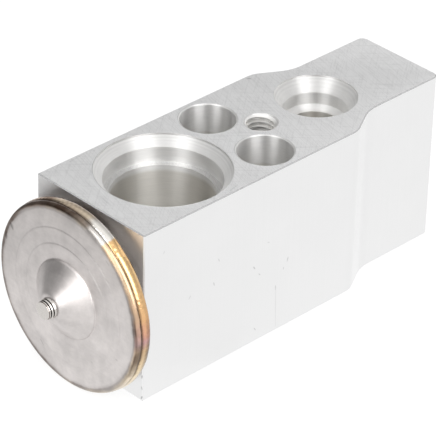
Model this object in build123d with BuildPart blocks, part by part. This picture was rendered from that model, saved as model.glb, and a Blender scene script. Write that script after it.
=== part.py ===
from build123d import *
import math
import os

# Block-type expansion valve. Millimetres.
# The origin is midway between the two flange bolt holes, on the underside of the block.
# +X runs from the diaphragm head to the adjusting screw, +Z up to the face with the pipe ports.
# Distances called "from the head end" are measured along +X from the face that carries the head.

# Clearances
running_gap = 0.05    # radial, between a piece and the hole that it slides or turns in
seal_gap = 0.02       # between a seal and the wall that it presses on
contact_gap = 0.02    # between pieces that bear on each other
seat_gap = 0.05       # between the closed ball and its seat

# Valve block
block_length = 79.8
block_width = 28.0
block_height = 35.2
tail_width = 20.2
shoulder_start = 53.6         # from the head end
shoulder_end = 60.4
shoulder_outer_radius = 5.0
shoulder_inner_radius = 8.0
tail_corner_radius = 1.5
edge_break = 0.2
overcut = 1.0                 # how far a cutting outline runs out past a face

# Flange bolts through the block, their heads sunk in the top face
bolt_line = 35.9              # from the head end
bolt_spacing = 15.0
bolt_hole_radius = 3.3
bolt_head_radius = 5.3
bolt_head_depth = 10.0
bolt_chamfer = 0.2
bolt_exit_chamfer = 0.4       # where the holes leave the underside

# Threaded hole for the clamp screw of the pipe flange, at its outer thread diameter
clamp_hole_line = 42.3        # from the head end
clamp_hole_radius = 3.0
clamp_hole_depth = 10.5
clamp_chamfer = 0.25

# Suction passage, straight through the block. Each mouth has a seal gland and a pilot bore
# for the pipe, and the pilots end just short of the sensing shaft that crosses between them
suction_line = 17.65          # from the head end
suction_radius = 9.5
suction_pilot_radius = 9.75
suction_gland_radius = 11.0
suction_gland_depth = 5.1
suction_rim_radius = 12.65

# Liquid inlet in the top face, its pilot bore ending above the spring chamber
inlet_line = 56.7             # from the head end
inlet_radius = 4.5
inlet_pilot_radius = 4.8
inlet_gland_radius = 6.2
inlet_gland_depth = 5.3
inlet_rim_radius = 7.9
inlet_flare = 1.45            # depth of the mouth's chamfer per its width
inlet_floor = 19.0            # height of the drilled floor above the underside

# Outlet to the evaporator in the underside, on the head side of the orifice
outlet_line = 45.6            # from the head end
outlet_radius = 4.9
outlet_gland_radius = 6.5
outlet_gland_depth = 8.0
outlet_rim_radius = 7.75
outlet_ceiling = 20.0         # height of the drilled end above the underside

rim_lip = 0.35                # straight lip above the chamfer of every port
pilot_stop = 0.3              # wall left between the end of a pilot bore and what crosses below it
drill_angle = 118.0

# Stepped bore along the valve axis
axis_height = block_height / 2
head_gland_radius = 11.9
head_gland_depth = 1.6
socket_radius = 10.05
socket_depth = 5.8
equaliser_radius = 4.2
seal_pocket_radius = 3.4
seal_pocket_floor = 31.4      # from the head end
orifice_radius = 2.0
orifice_end = 52.0            # from the head end, where the ball seat starts
seat_length = 1.2
chamber_radius = 5.0
screw_bore_start = 71.3       # from the head end
screw_bore_radius = 6.0
screw_bore_chamfer = 0.5

# Diaphragm head, in heights above the block's end face
cap_sheet = 1.0
cap_radius = 18.45
cap_edge_radius = 0.95
cap_edge_land = 0.05          # straight wall between the rounded edge and the weld groove
cap_face_height = 5.5
cap_wall = 1.55               # of the skirt, down to the diaphragm
cap_step_height = 0.07
cap_step_radii = [13.86, 10.79]
cone_base_radius = 7.7
cone_base_height = 5.95
cone_top_radius = 2.6
cone_top_height = 9.6
cone_top_blend = 1.0
weld_crown = 0.25             # how far the bead stands proud of the cap
weld_root = 0.4               # how far the bead reaches in under the cap's edge
weld_low = 2.2
weld_clearance = 0.05         # from the bead up to the cap's edge
diaphragm_sheet = 0.2
diaphragm_low = 3.2
wave_margin = 0.8             # from the dish's edge in to the last wave
wave_pitch = 1.9
wave_height = 0.25
wave_count = 2
flange_rim_sheet = 1.0
flange_floor_height = 1.3
flange_land = 1.3             # from the cap's inner wall in to the dish
flange_slope = 1.2            # width of the dish's sloping wall
flange_heel = 1.8             # from the dish in to the face that bears on the block
neck_radius = 10.0
neck_length = 5.2
neck_bore_radius = 7.0
neck_chamfer = 0.5

# Charge plug in the middle of the cap
plug_face_radius = 1.7
plug_foot_radius = 2.0
plug_height = 1.6             # above the cone
plug_groove_depth = 0.3
plug_groove_width = 0.3
plug_stem_radius = 1.2

# Rod train: stop plate, sensing shaft, push rod, ball and carrier
lift = 0.8                    # full opening travel of the ball
stop_plate_margin = 0.6       # from the first wave of the diaphragm in to the plate's edge
shaft_radius = 3.2
shaft_spigot_radius = 2.6
shaft_collar_radius = 4.6
shaft_collar_length = 1.1
shaft_end = 26.0              # from the head end
rod_radius = 1.2
rod_socket_depth = 5.0
ball_radius = 3.0
carrier_cup_radius = 3.7
carrier_cup_start = 1.2       # behind the ball's centre
carrier_seat_start = 3.3
carrier_seat_radius = 4.3
carrier_seat_thickness = 1.2
carrier_spigot_radius = 2.3
carrier_spigot_length = 2.0

# Rod seal in its pocket
backup_thickness = 0.6
retainer_thickness = 0.3
retainer_dish = 0.4
retainer_teeth = 8
retainer_slot_width = 0.7
retainer_slot_depth = 1.0

# Damper spring round the carrier, its legs dragging on the chamber wall
damper_sheet = 0.25
damper_legs = 8
damper_leg_width = 1.3
damper_leg_length = 2.6

# Superheat spring and adjusting screw
spring_wire_radius = 0.5
spring_mean_radius = 3.1
spring_turns = 5.0
screw_nose_start = 66.5       # from the head end
screw_shoulder = 72.6
screw_end = 78.3
screw_spigot_length = 1.5
screw_groove_start = 67.6
screw_groove_width = 1.8
screw_groove_depth = 1.5
screw_chamfer = 0.5
key_size = 6.0                # across the flats of the hexagon socket
key_depth = 5.0

# Places worked out from the sizes above
head_face = -bolt_line
tail_face = head_face + block_length
suction_x = head_face + suction_line
clamp_x = head_face + clamp_hole_line
inlet_x = head_face + inlet_line
outlet_x = head_face + outlet_line
drill_slope = 1 / math.tan(math.radians(drill_angle / 2))
suction_pilot_depth = axis_height - shaft_radius - pilot_stop
inlet_pilot_depth = axis_height - chamber_radius - pilot_stop
weld_radius = cap_radius + weld_crown
cap_skirt_height = cap_face_height - cap_edge_radius - cap_edge_land
weld_high = cap_skirt_height - weld_clearance
weld_seam_radius = cap_radius - weld_root
cap_inner_radius = cap_radius - cap_wall
flange_slope_radius = cap_inner_radius - flange_land
flange_dish_radius = flange_slope_radius - flange_slope
flange_seat_radius = flange_dish_radius - flange_heel
wave_start_radius = flange_slope_radius - wave_margin - wave_count * wave_pitch
stop_plate_radius = wave_start_radius - stop_plate_margin
plug_face_height = cone_top_height + plug_height
guide_radius = rod_radius + running_gap
seat_radius = orifice_radius + seat_length
ball_reach = ball_radius * math.sqrt(0.5)
ball_line = orifice_end + (ball_reach - orifice_radius) + ball_reach + seat_gap
carrier_seat_line = ball_line + carrier_seat_start
spring_start = carrier_seat_line + carrier_seat_thickness
stop_plate_top = diaphragm_low - contact_gap
stop_plate_bottom = flange_floor_height + lift + contact_gap
rod_start = shaft_end - rod_socket_depth + contact_gap
rod_end = ball_line - ball_radius - contact_gap

valve_plane = Plane(origin=(head_face, 0, axis_height), x_dir=(1, 0, 0), z_dir=(0, -1, 0))
valve_axis = Axis((0, 0, axis_height), (1, 0, 0))


def turned(plane, axis, points, mode=Mode.ADD):
    """Revolve a closed outline, given as corner points on a plane, about an axis."""
    with BuildSketch(plane) as outline:
        with BuildLine():
            Polyline(*points, close=True)
        make_face()
    revolve(outline.sketch, axis=axis, mode=mode)


def mouth(x, y, height, inward, radius, size):
    """Chamfer the mouth of a round hole in the top (inward 1) or the underside (inward -1)."""
    points = [
        (0, -overcut),
        (radius + size, -overcut),
        (radius + size, 0),
        (radius, size),
        (0, size),
    ]
    plane = Plane(origin=(x, y, height), x_dir=(1, 0, 0), z_dir=(0, inward, 0))
    turned(plane, Axis((x, y, 0), (0, 0, 1)), points, Mode.SUBTRACT)


def port(x, mouth_height, inward, rim, steps, slope=0, flare=1):
    """Cut a pipe port: a lip, a chamfer, then bores that step down, each a radius and its end depth."""
    last_radius = steps[0][0]
    last_depth = rim_lip + (rim - last_radius) * flare
    points = [(0, -overcut), (rim, -overcut), (rim, rim_lip)]
    for radius, depth in steps:
        last_depth += (last_radius - radius) * slope
        points += [(radius, last_depth), (radius, depth)]
        last_radius = radius
        last_depth = depth
    points.append((0, last_depth))
    plane = Plane(origin=(x, 0, mouth_height), x_dir=(1, 0, 0), z_dir=(0, inward, 0))
    turned(plane, Axis((x, 0, 0), (0, 0, 1)), points, Mode.SUBTRACT)


def ring(name, centre, mean_radius, section_radius):
    """Make an O-ring on the valve axis, centred at a distance from the head end."""
    with BuildPart() as o_ring:
        with BuildSketch(valve_plane):
            with Locations((centre, mean_radius)):
                Circle(section_radius)
        revolve(axis=valve_axis)
    return name, o_ring


# Valve block, cut from an extruded bar
with BuildPart() as valve_block:
    with BuildSketch(Plane.XY):
        with BuildLine():
            Polyline(
                (head_face, block_width / 2),
                (head_face + shoulder_start, block_width / 2),
                (head_face + shoulder_end, tail_width / 2),
                (tail_face, tail_width / 2),
                (tail_face, -tail_width / 2),
                (head_face + shoulder_end, -tail_width / 2),
                (head_face + shoulder_start, -block_width / 2),
                (head_face, -block_width / 2),
                close=True,
            )
        make_face()
        fillet(vertices().group_by(Axis.X)[3], tail_corner_radius)
        fillet(vertices().group_by(Axis.X)[2], shoulder_inner_radius)
        fillet(vertices().group_by(Axis.X)[1], shoulder_outer_radius)
    extrude(amount=block_height)
    outline_edges = faces().sort_by(Axis.Z)[-1].edges() + faces().sort_by(Axis.Z)[0].edges()
    head_corners = edges().filter_by(Axis.Z).group_by(Axis.X)[0]
    chamfer(outline_edges + head_corners, edge_break)

    # Suction passage, with a gland and a pilot bore in both faces
    suction_steps = [
        (suction_gland_radius, suction_gland_depth),
        (suction_pilot_radius, suction_pilot_depth),
        (suction_radius, block_height / 2),
    ]
    port(suction_x, block_height, 1, suction_rim_radius, suction_steps)
    port(suction_x, 0, -1, suction_rim_radius, suction_steps)

    # Liquid inlet and evaporator outlet
    inlet_steps = [
        (inlet_gland_radius, inlet_gland_depth),
        (inlet_pilot_radius, inlet_pilot_depth),
        (inlet_radius, block_height - inlet_floor),
    ]
    outlet_steps = [(outlet_gland_radius, outlet_gland_depth), (outlet_radius, outlet_ceiling)]
    port(inlet_x, block_height, 1, inlet_rim_radius, inlet_steps, drill_slope, inlet_flare)
    port(outlet_x, 0, -1, outlet_rim_radius, outlet_steps, drill_slope)

    # Flange bolt holes
    with Locations((0, bolt_spacing / 2, block_height), (0, -bolt_spacing / 2, block_height)):
        CounterBoreHole(bolt_hole_radius, bolt_head_radius, bolt_head_depth)
    for y in (bolt_spacing / 2, -bolt_spacing / 2):
        mouth(0, y, block_height, 1, bolt_head_radius, bolt_chamfer)
        mouth(0, y, 0, -1, bolt_hole_radius, bolt_exit_chamfer)

    # Threaded hole, countersunk at the mouth and drilled to a point
    turned(
        Plane(origin=(clamp_x, 0, block_height), x_dir=(1, 0, 0), z_dir=(0, 1, 0)),
        Axis((clamp_x, 0, 0), (0, 0, 1)),
        [
            (0, -overcut),
            (clamp_hole_radius + clamp_chamfer, -overcut),
            (clamp_hole_radius + clamp_chamfer, 0),
            (clamp_hole_radius, clamp_chamfer),
            (clamp_hole_radius, clamp_hole_depth),
            (0, clamp_hole_depth + clamp_hole_radius * drill_slope),
        ],
        Mode.SUBTRACT,
    )

    # Stepped bore along the valve axis: head socket, rod seal pocket, rod guide, orifice,
    # ball seat, spring chamber and the bore of the adjusting screw
    turned(
        valve_plane,
        valve_axis,
        [
            (-overcut, 0),
            (-overcut, head_gland_radius),
            (head_gland_depth, head_gland_radius),
            (head_gland_depth, socket_radius),
            (socket_depth, socket_radius),
            (socket_depth, equaliser_radius),
            (suction_line, equaliser_radius),
            (suction_line, seal_pocket_radius),
            (seal_pocket_floor, seal_pocket_radius),
            (seal_pocket_floor, guide_radius),
            (outlet_line, guide_radius),
            (outlet_line, orifice_radius),
            (orifice_end, orifice_radius),
            (orifice_end + seat_length, seat_radius),
            (orifice_end + seat_length, chamber_radius),
            (screw_bore_start, chamber_radius),
            (screw_bore_start, screw_bore_radius),
            (block_length - screw_bore_chamfer, screw_bore_radius),
            (block_length, screw_bore_radius + screw_bore_chamfer),
            (block_length + overcut, screw_bore_radius + screw_bore_chamfer),
            (block_length + overcut, 0),
        ],
        Mode.SUBTRACT,
    )

# Lower flange of the head, a turned dish with the neck that screws into the block
flange_top = diaphragm_low - contact_gap
flange_back = flange_top - flange_rim_sheet
with BuildPart() as head_flange:
    turned(
        valve_plane,
        valve_axis,
        [
            (-flange_top, weld_seam_radius),
            (-flange_back, weld_seam_radius),
            (-flange_back, flange_slope_radius + flange_rim_sheet),
            (-contact_gap, flange_seat_radius),
            (-contact_gap, neck_radius),
            (neck_length - neck_chamfer, neck_radius),
            (neck_length, neck_radius - neck_chamfer),
            (neck_length, neck_bore_radius),
            (-flange_floor_height, neck_bore_radius),
            (-flange_floor_height, flange_dish_radius),
            (-flange_top, flange_slope_radius),
        ],
    )

# Diaphragm, a thin corrugated disc clamped at the rim
with BuildPart() as diaphragm:
    with BuildSketch(valve_plane):
        with BuildLine():
            low = Line((-diaphragm_low, 0), (-diaphragm_low, wave_start_radius))
            for wave in range(wave_count):
                for half in (0, 1):
                    bend = wave_height if half == 0 else -wave_height
                    low = ThreePointArc(
                        low @ 1,
                        low @ 1 + Vector(-bend, wave_pitch / 4),
                        low @ 1 + Vector(0, wave_pitch / 2),
                    )
            low = Line(low @ 1, (-diaphragm_low, weld_seam_radius))
            high = Line(low @ 1, low @ 1 + Vector(-diaphragm_sheet, 0))
            wave_end = wave_start_radius + wave_count * wave_pitch
            high = Line(high @ 1, (-diaphragm_low - diaphragm_sheet, wave_end))
            for wave in range(wave_count):
                for half in (1, 0):
                    bend = wave_height if half == 0 else -wave_height
                    high = ThreePointArc(
                        high @ 1,
                        high @ 1 + Vector(-bend, -wave_pitch / 4),
                        high @ 1 + Vector(0, -wave_pitch / 2),
                    )
            high = Line(high @ 1, (-diaphragm_low - diaphragm_sheet, 0))
            Line(high @ 1, (-diaphragm_low, 0))
        make_face()
    revolve(axis=valve_axis)

# Cap over the diaphragm, pressed from sheet with a raised cone in the middle
cap_seat = diaphragm_low + diaphragm_sheet + contact_gap
inner_face = cap_face_height - cap_sheet
cone_slope = (cone_top_height - cone_base_height) / (cone_base_radius - cone_top_radius)
inner_cone_drop = cap_sheet * math.sqrt(1 + cone_slope ** 2)
inner_cone_foot = cone_base_radius - (inner_face + inner_cone_drop - cone_base_height) / cone_slope
with BuildPart() as diaphragm_cap:
    with BuildSketch(valve_plane):
        with BuildLine():
            face = Line((-cone_base_height, cone_base_radius), (-cone_top_height, cone_top_radius))
            face = Line(face @ 1, (-cone_top_height, plug_stem_radius + contact_gap))
            face = Line(face @ 1, (cap_sheet - cone_top_height, plug_stem_radius + contact_gap))
            face = Line(face @ 1, (cap_sheet - cone_top_height, cone_top_radius))
            face = Line(face @ 1, (-inner_face, inner_cone_foot))
            face = Line(face @ 1, (-inner_face, cap_inner_radius))
            face = Line(face @ 1, (-cap_seat, cap_inner_radius))
            face = Line(face @ 1, (-cap_seat, weld_seam_radius))
            face = Line(face @ 1, (-cap_skirt_height, weld_seam_radius))
            face = Line(face @ 1, (-cap_skirt_height, cap_radius))
            face = Line(face @ 1, (cap_edge_radius - cap_face_height, cap_radius))
            face = RadiusArc(face @ 1, (-cap_face_height, cap_radius - cap_edge_radius), -cap_edge_radius)
            level = -cap_face_height
            for radius in cap_step_radii:
                face = Line(face @ 1, (level, radius))
                level -= cap_step_height
                face = Line(face @ 1, (level, radius - cap_step_height))
            face = Line(face @ 1, (level, cone_base_radius + cap_step_height))
            Line(face @ 1, (-cone_base_height, cone_base_radius))
        make_face()
    revolve(axis=valve_axis)
    cone_rim = edges().filter_by(GeomType.CIRCLE).group_by(Axis.X)[0].sort_by(SortBy.RADIUS)[-1]
    fillet(cone_rim, cone_top_blend)

# Bead that welds cap, diaphragm and flange together round the rim
with BuildPart() as rim_weld:
    with BuildSketch(valve_plane):
        with BuildLine():
            seam = Line((-weld_low, weld_seam_radius + contact_gap), (-weld_high, weld_seam_radius + contact_gap))
            ThreePointArc(seam @ 1, (-(weld_low + weld_high) / 2, weld_radius), seam @ 0)
        make_face()
    revolve(axis=valve_axis)

# Plug that closes the charging hole, with two turned grooves
plug_taper = (plug_foot_radius - plug_face_radius) / plug_height
plug_outline = [(-plug_face_height, 0), (-plug_face_height, plug_face_radius)]
for groove in (1, 2):
    groove_height = plug_face_height - groove * plug_height / 3
    groove_radius = plug_face_radius + (plug_face_height - groove_height) * plug_taper
    plug_outline += [
        (-groove_height - plug_groove_width / 2, groove_radius),
        (-groove_height - plug_groove_width / 2, groove_radius - plug_groove_depth),
        (-groove_height + plug_groove_width / 2, groove_radius - plug_groove_depth),
        (-groove_height + plug_groove_width / 2, groove_radius),
    ]
plug_outline += [
    (-cone_top_height - contact_gap, plug_foot_radius),
    (-cone_top_height - contact_gap, plug_stem_radius),
    (cap_sheet - cone_top_height, plug_stem_radius),
    (cap_sheet - cone_top_height, 0),
]
with BuildPart() as charge_plug:
    turned(valve_plane, valve_axis, plug_outline)

# Stop plate under the diaphragm, which lands on the flange floor at full lift
with BuildPart() as stop_plate:
    turned(
        valve_plane,
        valve_axis,
        [
            (-stop_plate_top, shaft_spigot_radius + contact_gap),
            (-stop_plate_top, stop_plate_radius - edge_break),
            (edge_break - stop_plate_top, stop_plate_radius),
            (-stop_plate_bottom, stop_plate_radius),
            (-stop_plate_bottom, shaft_spigot_radius + contact_gap),
        ],
    )

# Sensing shaft, across the suction gas, with a collar under the plate and a socket for the rod
with BuildPart() as sensing_shaft:
    turned(
        valve_plane,
        valve_axis,
        [
            (-stop_plate_top, 0),
            (-stop_plate_top, shaft_spigot_radius),
            (contact_gap - stop_plate_bottom, shaft_spigot_radius),
            (contact_gap - stop_plate_bottom, shaft_collar_radius),
            (shaft_collar_length - stop_plate_bottom, shaft_collar_radius),
            (shaft_collar_length - stop_plate_bottom, shaft_radius),
            (shaft_end - edge_break, shaft_radius),
            (shaft_end, shaft_radius - edge_break),
            (shaft_end, rod_radius + contact_gap),
            (shaft_end - rod_socket_depth, rod_radius + contact_gap),
            (shaft_end - rod_socket_depth, 0),
        ],
    )

# Push rod, from the shaft through the seal, the guide and the orifice to the ball
with BuildPart() as push_rod:
    turned(
        valve_plane,
        valve_axis,
        [
            (rod_start, 0),
            (rod_start, rod_radius),
            (rod_end - edge_break, rod_radius),
            (rod_end, rod_radius - edge_break),
            (rod_end, 0),
        ],
    )

# Ball, carrier and damper spring
with BuildPart() as valve_ball:
    with Locations((head_face + ball_line, 0, axis_height)):
        Sphere(ball_radius)

cup_line = ball_line + carrier_cup_start
cup_mouth = ball_reach * 2 - carrier_cup_start - contact_gap
cup_floor_radius = rod_radius
cup_floor_line = cup_line + cup_mouth - cup_floor_radius
with BuildPart() as ball_carrier:
    turned(
        valve_plane,
        valve_axis,
        [
            (cup_floor_line, 0),
            (cup_floor_line, cup_floor_radius),
            (cup_line, cup_mouth),
            (cup_line, carrier_cup_radius),
            (carrier_seat_line, carrier_cup_radius),
            (carrier_seat_line, carrier_seat_radius),
            (spring_start, carrier_seat_radius),
            (spring_start, carrier_spigot_radius),
            (spring_start + carrier_spigot_length - edge_break, carrier_spigot_radius),
            (spring_start + carrier_spigot_length, carrier_spigot_radius - edge_break),
            (spring_start + carrier_spigot_length, 0),
        ],
    )

damper_radius = chamber_radius - running_gap
damper_back = carrier_seat_line - contact_gap
with BuildPart() as damper_spring:
    turned(
        valve_plane,
        valve_axis,
        [
            (damper_back - damper_sheet, carrier_cup_radius + contact_gap),
            (damper_back - damper_sheet, damper_radius),
            (damper_back, damper_radius),
            (damper_back, carrier_cup_radius + contact_gap),
        ],
    )
    with BuildSketch(Plane(origin=(head_face + damper_back, 0, axis_height), x_dir=(0, 1, 0), z_dir=(-1, 0, 0))):
        with PolarLocations((damper_radius + carrier_cup_radius) / 2, damper_legs):
            Rectangle(damper_radius, damper_leg_width)
        Circle(damper_radius, mode=Mode.INTERSECT)
        Circle(damper_radius - damper_sheet, mode=Mode.SUBTRACT)
    extrude(amount=damper_sheet + damper_leg_length)

# Superheat spring, ground flat on the carrier and on the screw's nose
spring_low = spring_start + contact_gap
spring_high = screw_nose_start - contact_gap
spring_length = spring_high - spring_low
with BuildPart() as superheat_spring:
    with BuildLine():
        coil = Helix(
            pitch=spring_length / spring_turns,
            height=spring_length,
            radius=spring_mean_radius,
            center=(head_face + spring_low, 0, axis_height),
            direction=(1, 0, 0),
        )
    with BuildSketch(Plane(origin=coil @ 0, z_dir=coil % 0)):
        Circle(spring_wire_radius)
    sweep()
    with Locations((head_face + (spring_low + spring_high) / 2, 0, axis_height)):
        Box(spring_length, 2 * chamber_radius, 2 * chamber_radius, mode=Mode.INTERSECT)

# Adjusting screw: a nose that carries the seal, a threaded body and a hexagon socket
nose_radius = chamber_radius - running_gap
screw_radius = screw_bore_radius - running_gap
groove_radius = chamber_radius - screw_groove_depth
groove_end = screw_groove_start + screw_groove_width
with BuildPart() as adjusting_screw:
    turned(
        valve_plane,
        valve_axis,
        [
            (screw_nose_start - screw_spigot_length, 0),
            (screw_nose_start - screw_spigot_length, carrier_spigot_radius),
            (screw_nose_start, carrier_spigot_radius),
            (screw_nose_start, nose_radius - edge_break),
            (screw_nose_start + edge_break, nose_radius),
            (screw_groove_start, nose_radius),
            (screw_groove_start, groove_radius),
            (groove_end, groove_radius),
            (groove_end, nose_radius),
            (screw_shoulder, nose_radius),
            (screw_shoulder, screw_radius - screw_chamfer),
            (screw_shoulder + screw_chamfer, screw_radius),
            (screw_end - screw_chamfer, screw_radius),
            (screw_end, screw_radius - screw_chamfer),
            (screw_end, 0),
        ],
    )
    with BuildSketch(Plane(origin=(head_face + screw_end, 0, axis_height), x_dir=(0, 1, 0), z_dir=(1, 0, 0))):
        RegularPolygon(key_size / 2, 6, major_radius=False)
    extrude(amount=-key_depth, mode=Mode.SUBTRACT)

# Rod seal: the O-ring on the pocket floor, a backup washer and a toothed retainer
rod_ring_section = (seal_pocket_radius - seal_gap - guide_radius) / 2
rod_ring_line = seal_pocket_floor - seal_gap - rod_ring_section
backup_back = rod_ring_line - rod_ring_section - contact_gap
with BuildPart() as rod_backup_washer:
    turned(
        valve_plane,
        valve_axis,
        [
            (backup_back - backup_thickness, guide_radius),
            (backup_back - backup_thickness, seal_pocket_radius - seal_gap),
            (backup_back, seal_pocket_radius - seal_gap),
            (backup_back, guide_radius),
        ],
    )

retainer_back = backup_back - backup_thickness - contact_gap
retainer_outer = seal_pocket_radius - seal_gap
with BuildPart() as rod_seal_retainer:
    turned(
        valve_plane,
        valve_axis,
        [
            (retainer_back - retainer_thickness, guide_radius),
            (retainer_back - retainer_thickness - retainer_dish, retainer_outer),
            (retainer_back - retainer_dish, retainer_outer),
            (retainer_back, guide_radius),
        ],
    )
    with BuildSketch(Plane(origin=(head_face + retainer_back, 0, axis_height), x_dir=(0, 1, 0), z_dir=(-1, 0, 0))):
        with PolarLocations(retainer_outer, retainer_teeth):
            Rectangle(2 * retainer_slot_depth, retainer_slot_width)
    extrude(amount=retainer_thickness + retainer_dish + overcut, mode=Mode.SUBTRACT)

# O-rings of the rod, the head's neck and the adjusting screw
neck_ring_section = min(head_gland_depth, head_gland_radius - neck_radius) / 2 - seal_gap
screw_ring_section = (screw_groove_depth - running_gap) / 2 - seal_gap
o_rings = [
    ring("rod_o_ring", rod_ring_line, guide_radius + rod_ring_section, rod_ring_section),
    ring("head_o_ring", head_gland_depth / 2, (head_gland_radius + neck_radius) / 2, neck_ring_section),
    ring(
        "screw_o_ring",
        (screw_groove_start + groove_end) / 2,
        groove_radius + seal_gap + screw_ring_section,
        screw_ring_section,
    ),
]

os.makedirs("parts", exist_ok=True)
pieces = [
    ("valve_block", valve_block),
    ("head_flange", head_flange),
    ("diaphragm", diaphragm),
    ("diaphragm_cap", diaphragm_cap),
    ("rim_weld", rim_weld),
    ("charge_plug", charge_plug),
    ("stop_plate", stop_plate),
    ("sensing_shaft", sensing_shaft),
    ("push_rod", push_rod),
    ("rod_backup_washer", rod_backup_washer),
    ("rod_seal_retainer", rod_seal_retainer),
    ("valve_ball", valve_ball),
    ("ball_carrier", ball_carrier),
    ("damper_spring", damper_spring),
    ("superheat_spring", superheat_spring),
    ("adjusting_screw", adjusting_screw),
]
for name, piece in pieces + o_rings:
    piece.part.label = name
    export_step(piece.part, f"parts/{name}.step")
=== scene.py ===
"""Block-type expansion valve: finishes, threads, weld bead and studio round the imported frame.

Sizes and places are written in millimetres in the row frame. X runs along the valve from the
diaphragm head to the adjusting screw, Z up to the face with the pipe ports, and the valve axis
lies AXIS_HEIGHT above the underside. Meshes and node values are turned into metres as they are made.
"""

import logging
import math
from dataclasses import dataclass, field
from enum import Enum
from functools import cache, reduce
from typing import Sequence, Union

import bmesh
import bpy
from mathutils import Matrix, Vector


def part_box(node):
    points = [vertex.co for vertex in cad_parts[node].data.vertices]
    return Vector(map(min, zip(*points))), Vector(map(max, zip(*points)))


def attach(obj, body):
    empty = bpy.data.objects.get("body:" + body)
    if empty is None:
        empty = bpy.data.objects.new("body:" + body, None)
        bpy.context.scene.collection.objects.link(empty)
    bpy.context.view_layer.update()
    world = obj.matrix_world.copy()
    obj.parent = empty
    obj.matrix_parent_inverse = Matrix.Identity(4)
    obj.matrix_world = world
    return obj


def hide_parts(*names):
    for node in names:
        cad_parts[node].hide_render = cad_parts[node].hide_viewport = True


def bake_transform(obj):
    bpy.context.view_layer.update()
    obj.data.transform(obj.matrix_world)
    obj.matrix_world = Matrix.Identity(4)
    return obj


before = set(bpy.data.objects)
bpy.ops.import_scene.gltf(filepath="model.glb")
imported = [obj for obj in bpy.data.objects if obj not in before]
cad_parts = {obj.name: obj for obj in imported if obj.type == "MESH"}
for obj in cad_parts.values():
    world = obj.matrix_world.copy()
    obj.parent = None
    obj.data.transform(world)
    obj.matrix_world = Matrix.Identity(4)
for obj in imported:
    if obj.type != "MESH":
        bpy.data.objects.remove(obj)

log = logging.getLogger("expansion_valve")

Triple = tuple[float, float, float]
Socket = bpy.types.NodeSocket
Term = Union[float, Sequence[float], Socket]
Stops = Sequence[tuple[float, Union[float, Triple]]]

MM = 0.001
TURN = 2 * math.pi
# How squarely a face has to stand to an axis to count as flat: the mask's start and end.
SQUARE = (0.85, 0.95)

HEAD_FACE = -35.9
TAIL_FACE = 43.9
SIDE_FACE = -14.0
TOP_FACE = 35.2
AXIS_HEIGHT = 17.6
CAP_FACE = -41.4
CAP_RIM = 17.15
PLUG_FACE = -47.1


def metres(point: Sequence[float]) -> Triple:
    """Turn a point in millimetres into metres."""
    return (point[0] * MM, point[1] * MM, point[2] * MM)


def grey(level: float) -> Triple:
    """Give the grey of a linear level."""
    return (level, level, level)


ON_AXIS = metres((0.0, 0.0, AXIS_HEIGHT))


class Axis(Enum):
    """Directions that tools go round and faces stand square to."""

    ALONG = (1.0, 0.0, 0.0)
    ACROSS = (0.0, 1.0, 0.0)
    UP = (0.0, 0.0, 1.0)


class Mixed(Enum):
    """What a Mix node mixes, with the ending of its sockets' identifiers."""

    FLOAT = "Float"
    VECTOR = "Vector"
    RGBA = "Color"


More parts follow.
